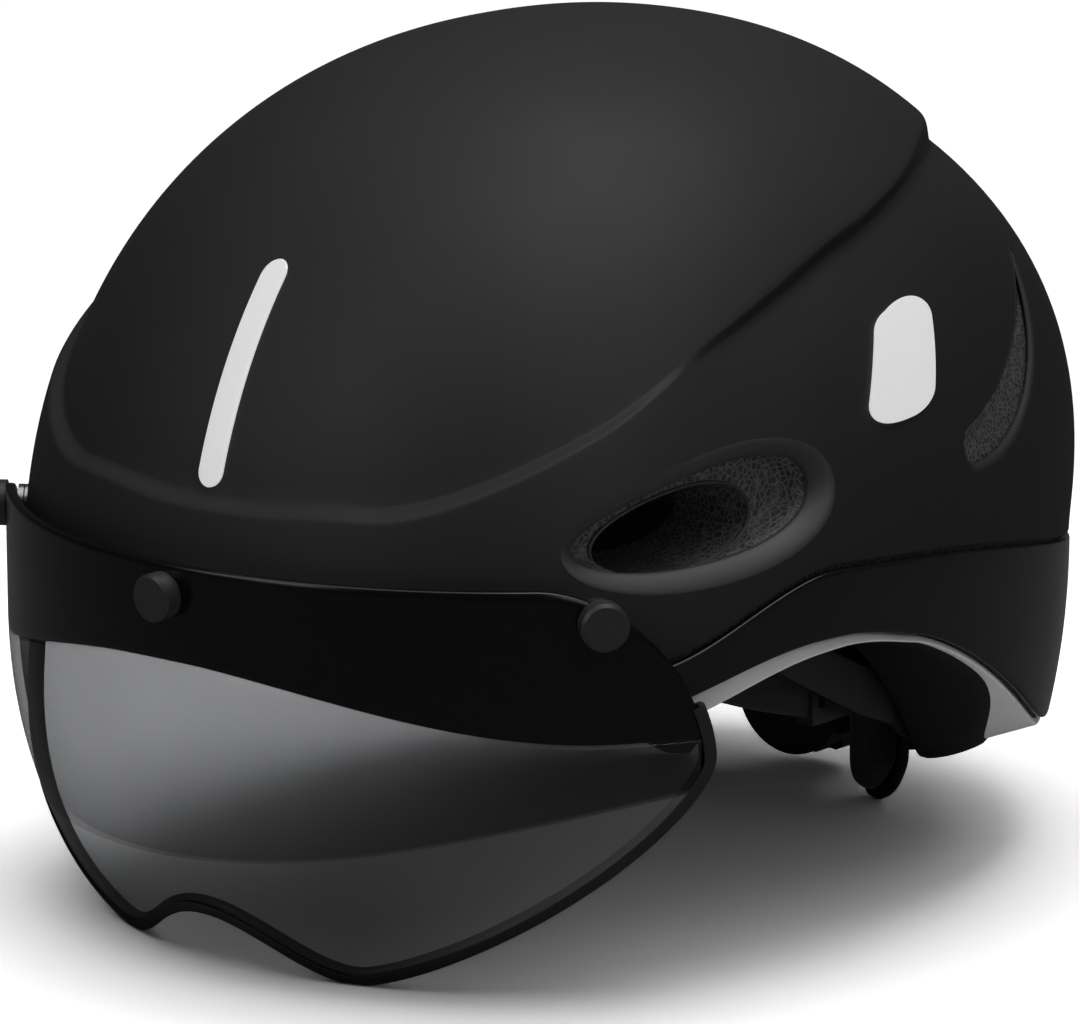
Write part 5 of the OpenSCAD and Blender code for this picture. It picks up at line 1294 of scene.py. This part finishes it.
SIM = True
side_roof = roof(36, 20, -36, 40)
for name, node_name, body, point, thick, nv, nw, channels in (
        ("forehead_cushion", "forehead_pad", "helmet", forehead, 6.0, 150, 26, (0.3, 0.7)),
        ("crown_cushion", "crown_pad", "helmet", roof(0, 26, -42, 44), 6.0, 90, 28, (0.5,)),
        ("crown_side_cushion_left", "crown_side_pad_left", "helmet", side_roof, 6.0, 80, 22, (0.5,)),
        ("crown_side_cushion_right", "crown_side_pad_right", "helmet", mirror_point(side_roof), 6.0,
         80, 22, (0.5,)),
        ("nape_cushion_left", "wing_pad_left", "arm_left", nape, 7.0, 46, 50, ()),
        ("nape_cushion_right", "wing_pad_right", "arm_right", mirror_point(nape), 7.0, 46, 50, ())):
    cushion = pad_form(name, point, thick, nv, nw, SIM)
    if SIM:
        blow_up(cushion)
    press(cushion, point, channels, thick)
    place(cushion, body, "pad_fabric", replaces=(node_name,))
print("six pads,", "simulated" if SIM else "plain for a quick look")

# %% [markdown]
# The rest of the mechanism keeps the frame's own solids: knob, gear, housing, rail, arms, pins,
# dividers, buckle, caps and magnets. They are exact already, so modelling them again would only add
# faults. Each gets its finish and a small bevel, so that its edges catch light.

# %% Frame pieces
FINISH = {s["node"]: s["material_slot"] for s in frame["record"]["subparts"]}
BEVEL_MM = {"cap_plastic": 0.45, "dial_plastic": 0.5, "strap_plastic": 0.5, "button_red": 0.3,
            "cradle_plastic": 0.3, "gear_plastic": 0.1, "pin_steel": 0.1, "magnet_steel": 0.2}
kept = []
for name, ob in NODES.items():
    if ob.hide_render or FINISH[name] not in BEVEL_MM:
        continue
    finish = FINISH[name]
    ob.data.materials.clear()
    ob.data.materials.append(MAT[finish])
    soften = ob.modifiers.new("bevel", "BEVEL")
    soften.width, soften.segments, soften.limit_method = BEVEL_MM[finish] * MM, 2, "ANGLE"
    soften.angle_limit, soften.harden_normals = math.radians(38), True
    ob.data.polygons.foreach_set("use_smooth", [True] * len(ob.data.polygons))
    ob.data.set_sharp_from_angle(angle=math.radians(30))
    kept.append(name)
print(len(kept), "frame pieces kept:", ", ".join(kept))

# %% [markdown]
# The floor is a pale sheet that runs out to white, with a dark, soft shadow under the helmet. In a
# studio the floor would be lit until it burns out, but that much light would also wash up into the
# black shell. Here the floor answers each kind of ray in its own way: bright to the camera, pale where
# it throws soft light back, and dull in the gloss of the helmet, whose lower half so stays dark.

# %% Floor
WHITE_FROM, WHITE_AT, FLOOR_HALF, FLOOR_Z = 0.24, 0.50, 12.0, -0.0003
floor_mat, tree, shader, coord = start("floor")
tree.nodes.remove(shader)
worn = cloud(tree, coord, 300)


def card(dark, light):
    return node(tree, "BsdfDiffuse", {"Color": tone(tree, worn, (dark,) * 3, (light,) * 3)}).outputs[0]


def either(factor, first, second):
    return node(tree, "MixShader", {0: factor, 1: first, 2: second}).outputs[0]


ray = node(tree, "LightPath")
white = node(tree, "Emission", {"Color": (1, 1, 1), "Strength": 1.05}).outputs[0]
reach = node(tree, "VectorMath", {0: coord}, operation="LENGTH").outputs["Value"]
shown = either(ramp(tree, reach, WHITE_FROM, WHITE_AT, 0.0, 1.0), card(2.4, 2.5), white)
unseen = either(ray.outputs["Is Glossy Ray"], card(0.84, 0.87), card(0.13, 0.16))
out = next(n for n in tree.nodes if n.type == "OUTPUT_MATERIAL")
feed(tree, out, {"Surface": either(ray.outputs["Is Camera Ray"], unseen, shown)})
me = bpy.data.meshes.new("floor")
corners = [(x * FLOOR_HALF, y * FLOOR_HALF, FLOOR_Z) for x, y in ((-1, -1), (1, -1), (1, 1), (-1, 1))]
me.from_pydata(corners, [], [(0, 1, 2, 3)])
me.materials.append(floor_mat)
floor = stand("floor", me)
print("floor turns white", WHITE_FROM, "to", WHITE_AT, "m out")

# %% [markdown]
# A photographer hangs large soft lamps and cuts off with black cards what shouldn't shine. In Blender
# a lamp can simply be told what it may do. Two wide lamps overhead light the surfaces and make no
# highlight. Four others only shine in the gloss: a sheet over the crown, a sheen at the rear, and one
# card each in front and beside. A weak lamp from the side lifts the shadows.

# %% Lamps and backdrop
AIM = Vector((0, 0, 0.08))
for name, size, location, power, lights_surfaces, shines in (
        ("overhead", 3.2, (-0.12, 0.12, 1.55), 15, True, False),
        ("overhead_core", 1.2, (-0.05, 0.13, 1.55), 8, True, False),
        ("top_sheet", 1.8, (0.06, -0.16, 1.55), 9, False, True),
        ("sheen", 1.0, (0.34, 0.22, 1.50), 8, False, True),
        ("front_fill", 1.0, (-0.50, -1.50, 0.95), 6.5, False, True),
        ("side_fill", 1.0, (1.30, -0.55, 0.70), 1.0, True, False),
        ("side_shine", 0.8, (1.30, -0.40, 0.85), 3, False, True)):
    data = bpy.data.lights.new(name, "AREA")
    data.shape, data.size, data.energy = "SQUARE", size, power
    lamp = stand(name, data)
    lamp.location = location
    lamp.rotation_euler = (Vector(location) - AIM).to_track_quat("Z", "Y").to_euler()
    lamp.visible_diffuse, lamp.visible_glossy = lights_surfaces, shines
scene.world = world = bpy.data.worlds.new("studio")
world.use_nodes = True
tree = world.node_tree
ray = node(tree, "LightPath")
seen = calc(tree, "MAXIMUM", ray.outputs["Is Camera Ray"], ray.outputs["Is Transmission Ray"])
feed(tree, tree.nodes["Background"], {"Color": (1, 1, 1), "Strength": ramp(tree, seen, 0.0, 1.0, 0.03, 1.0)})
scene.view_settings.view_transform = "Standard"
scene.view_settings.look = "None"
print("studio ready")
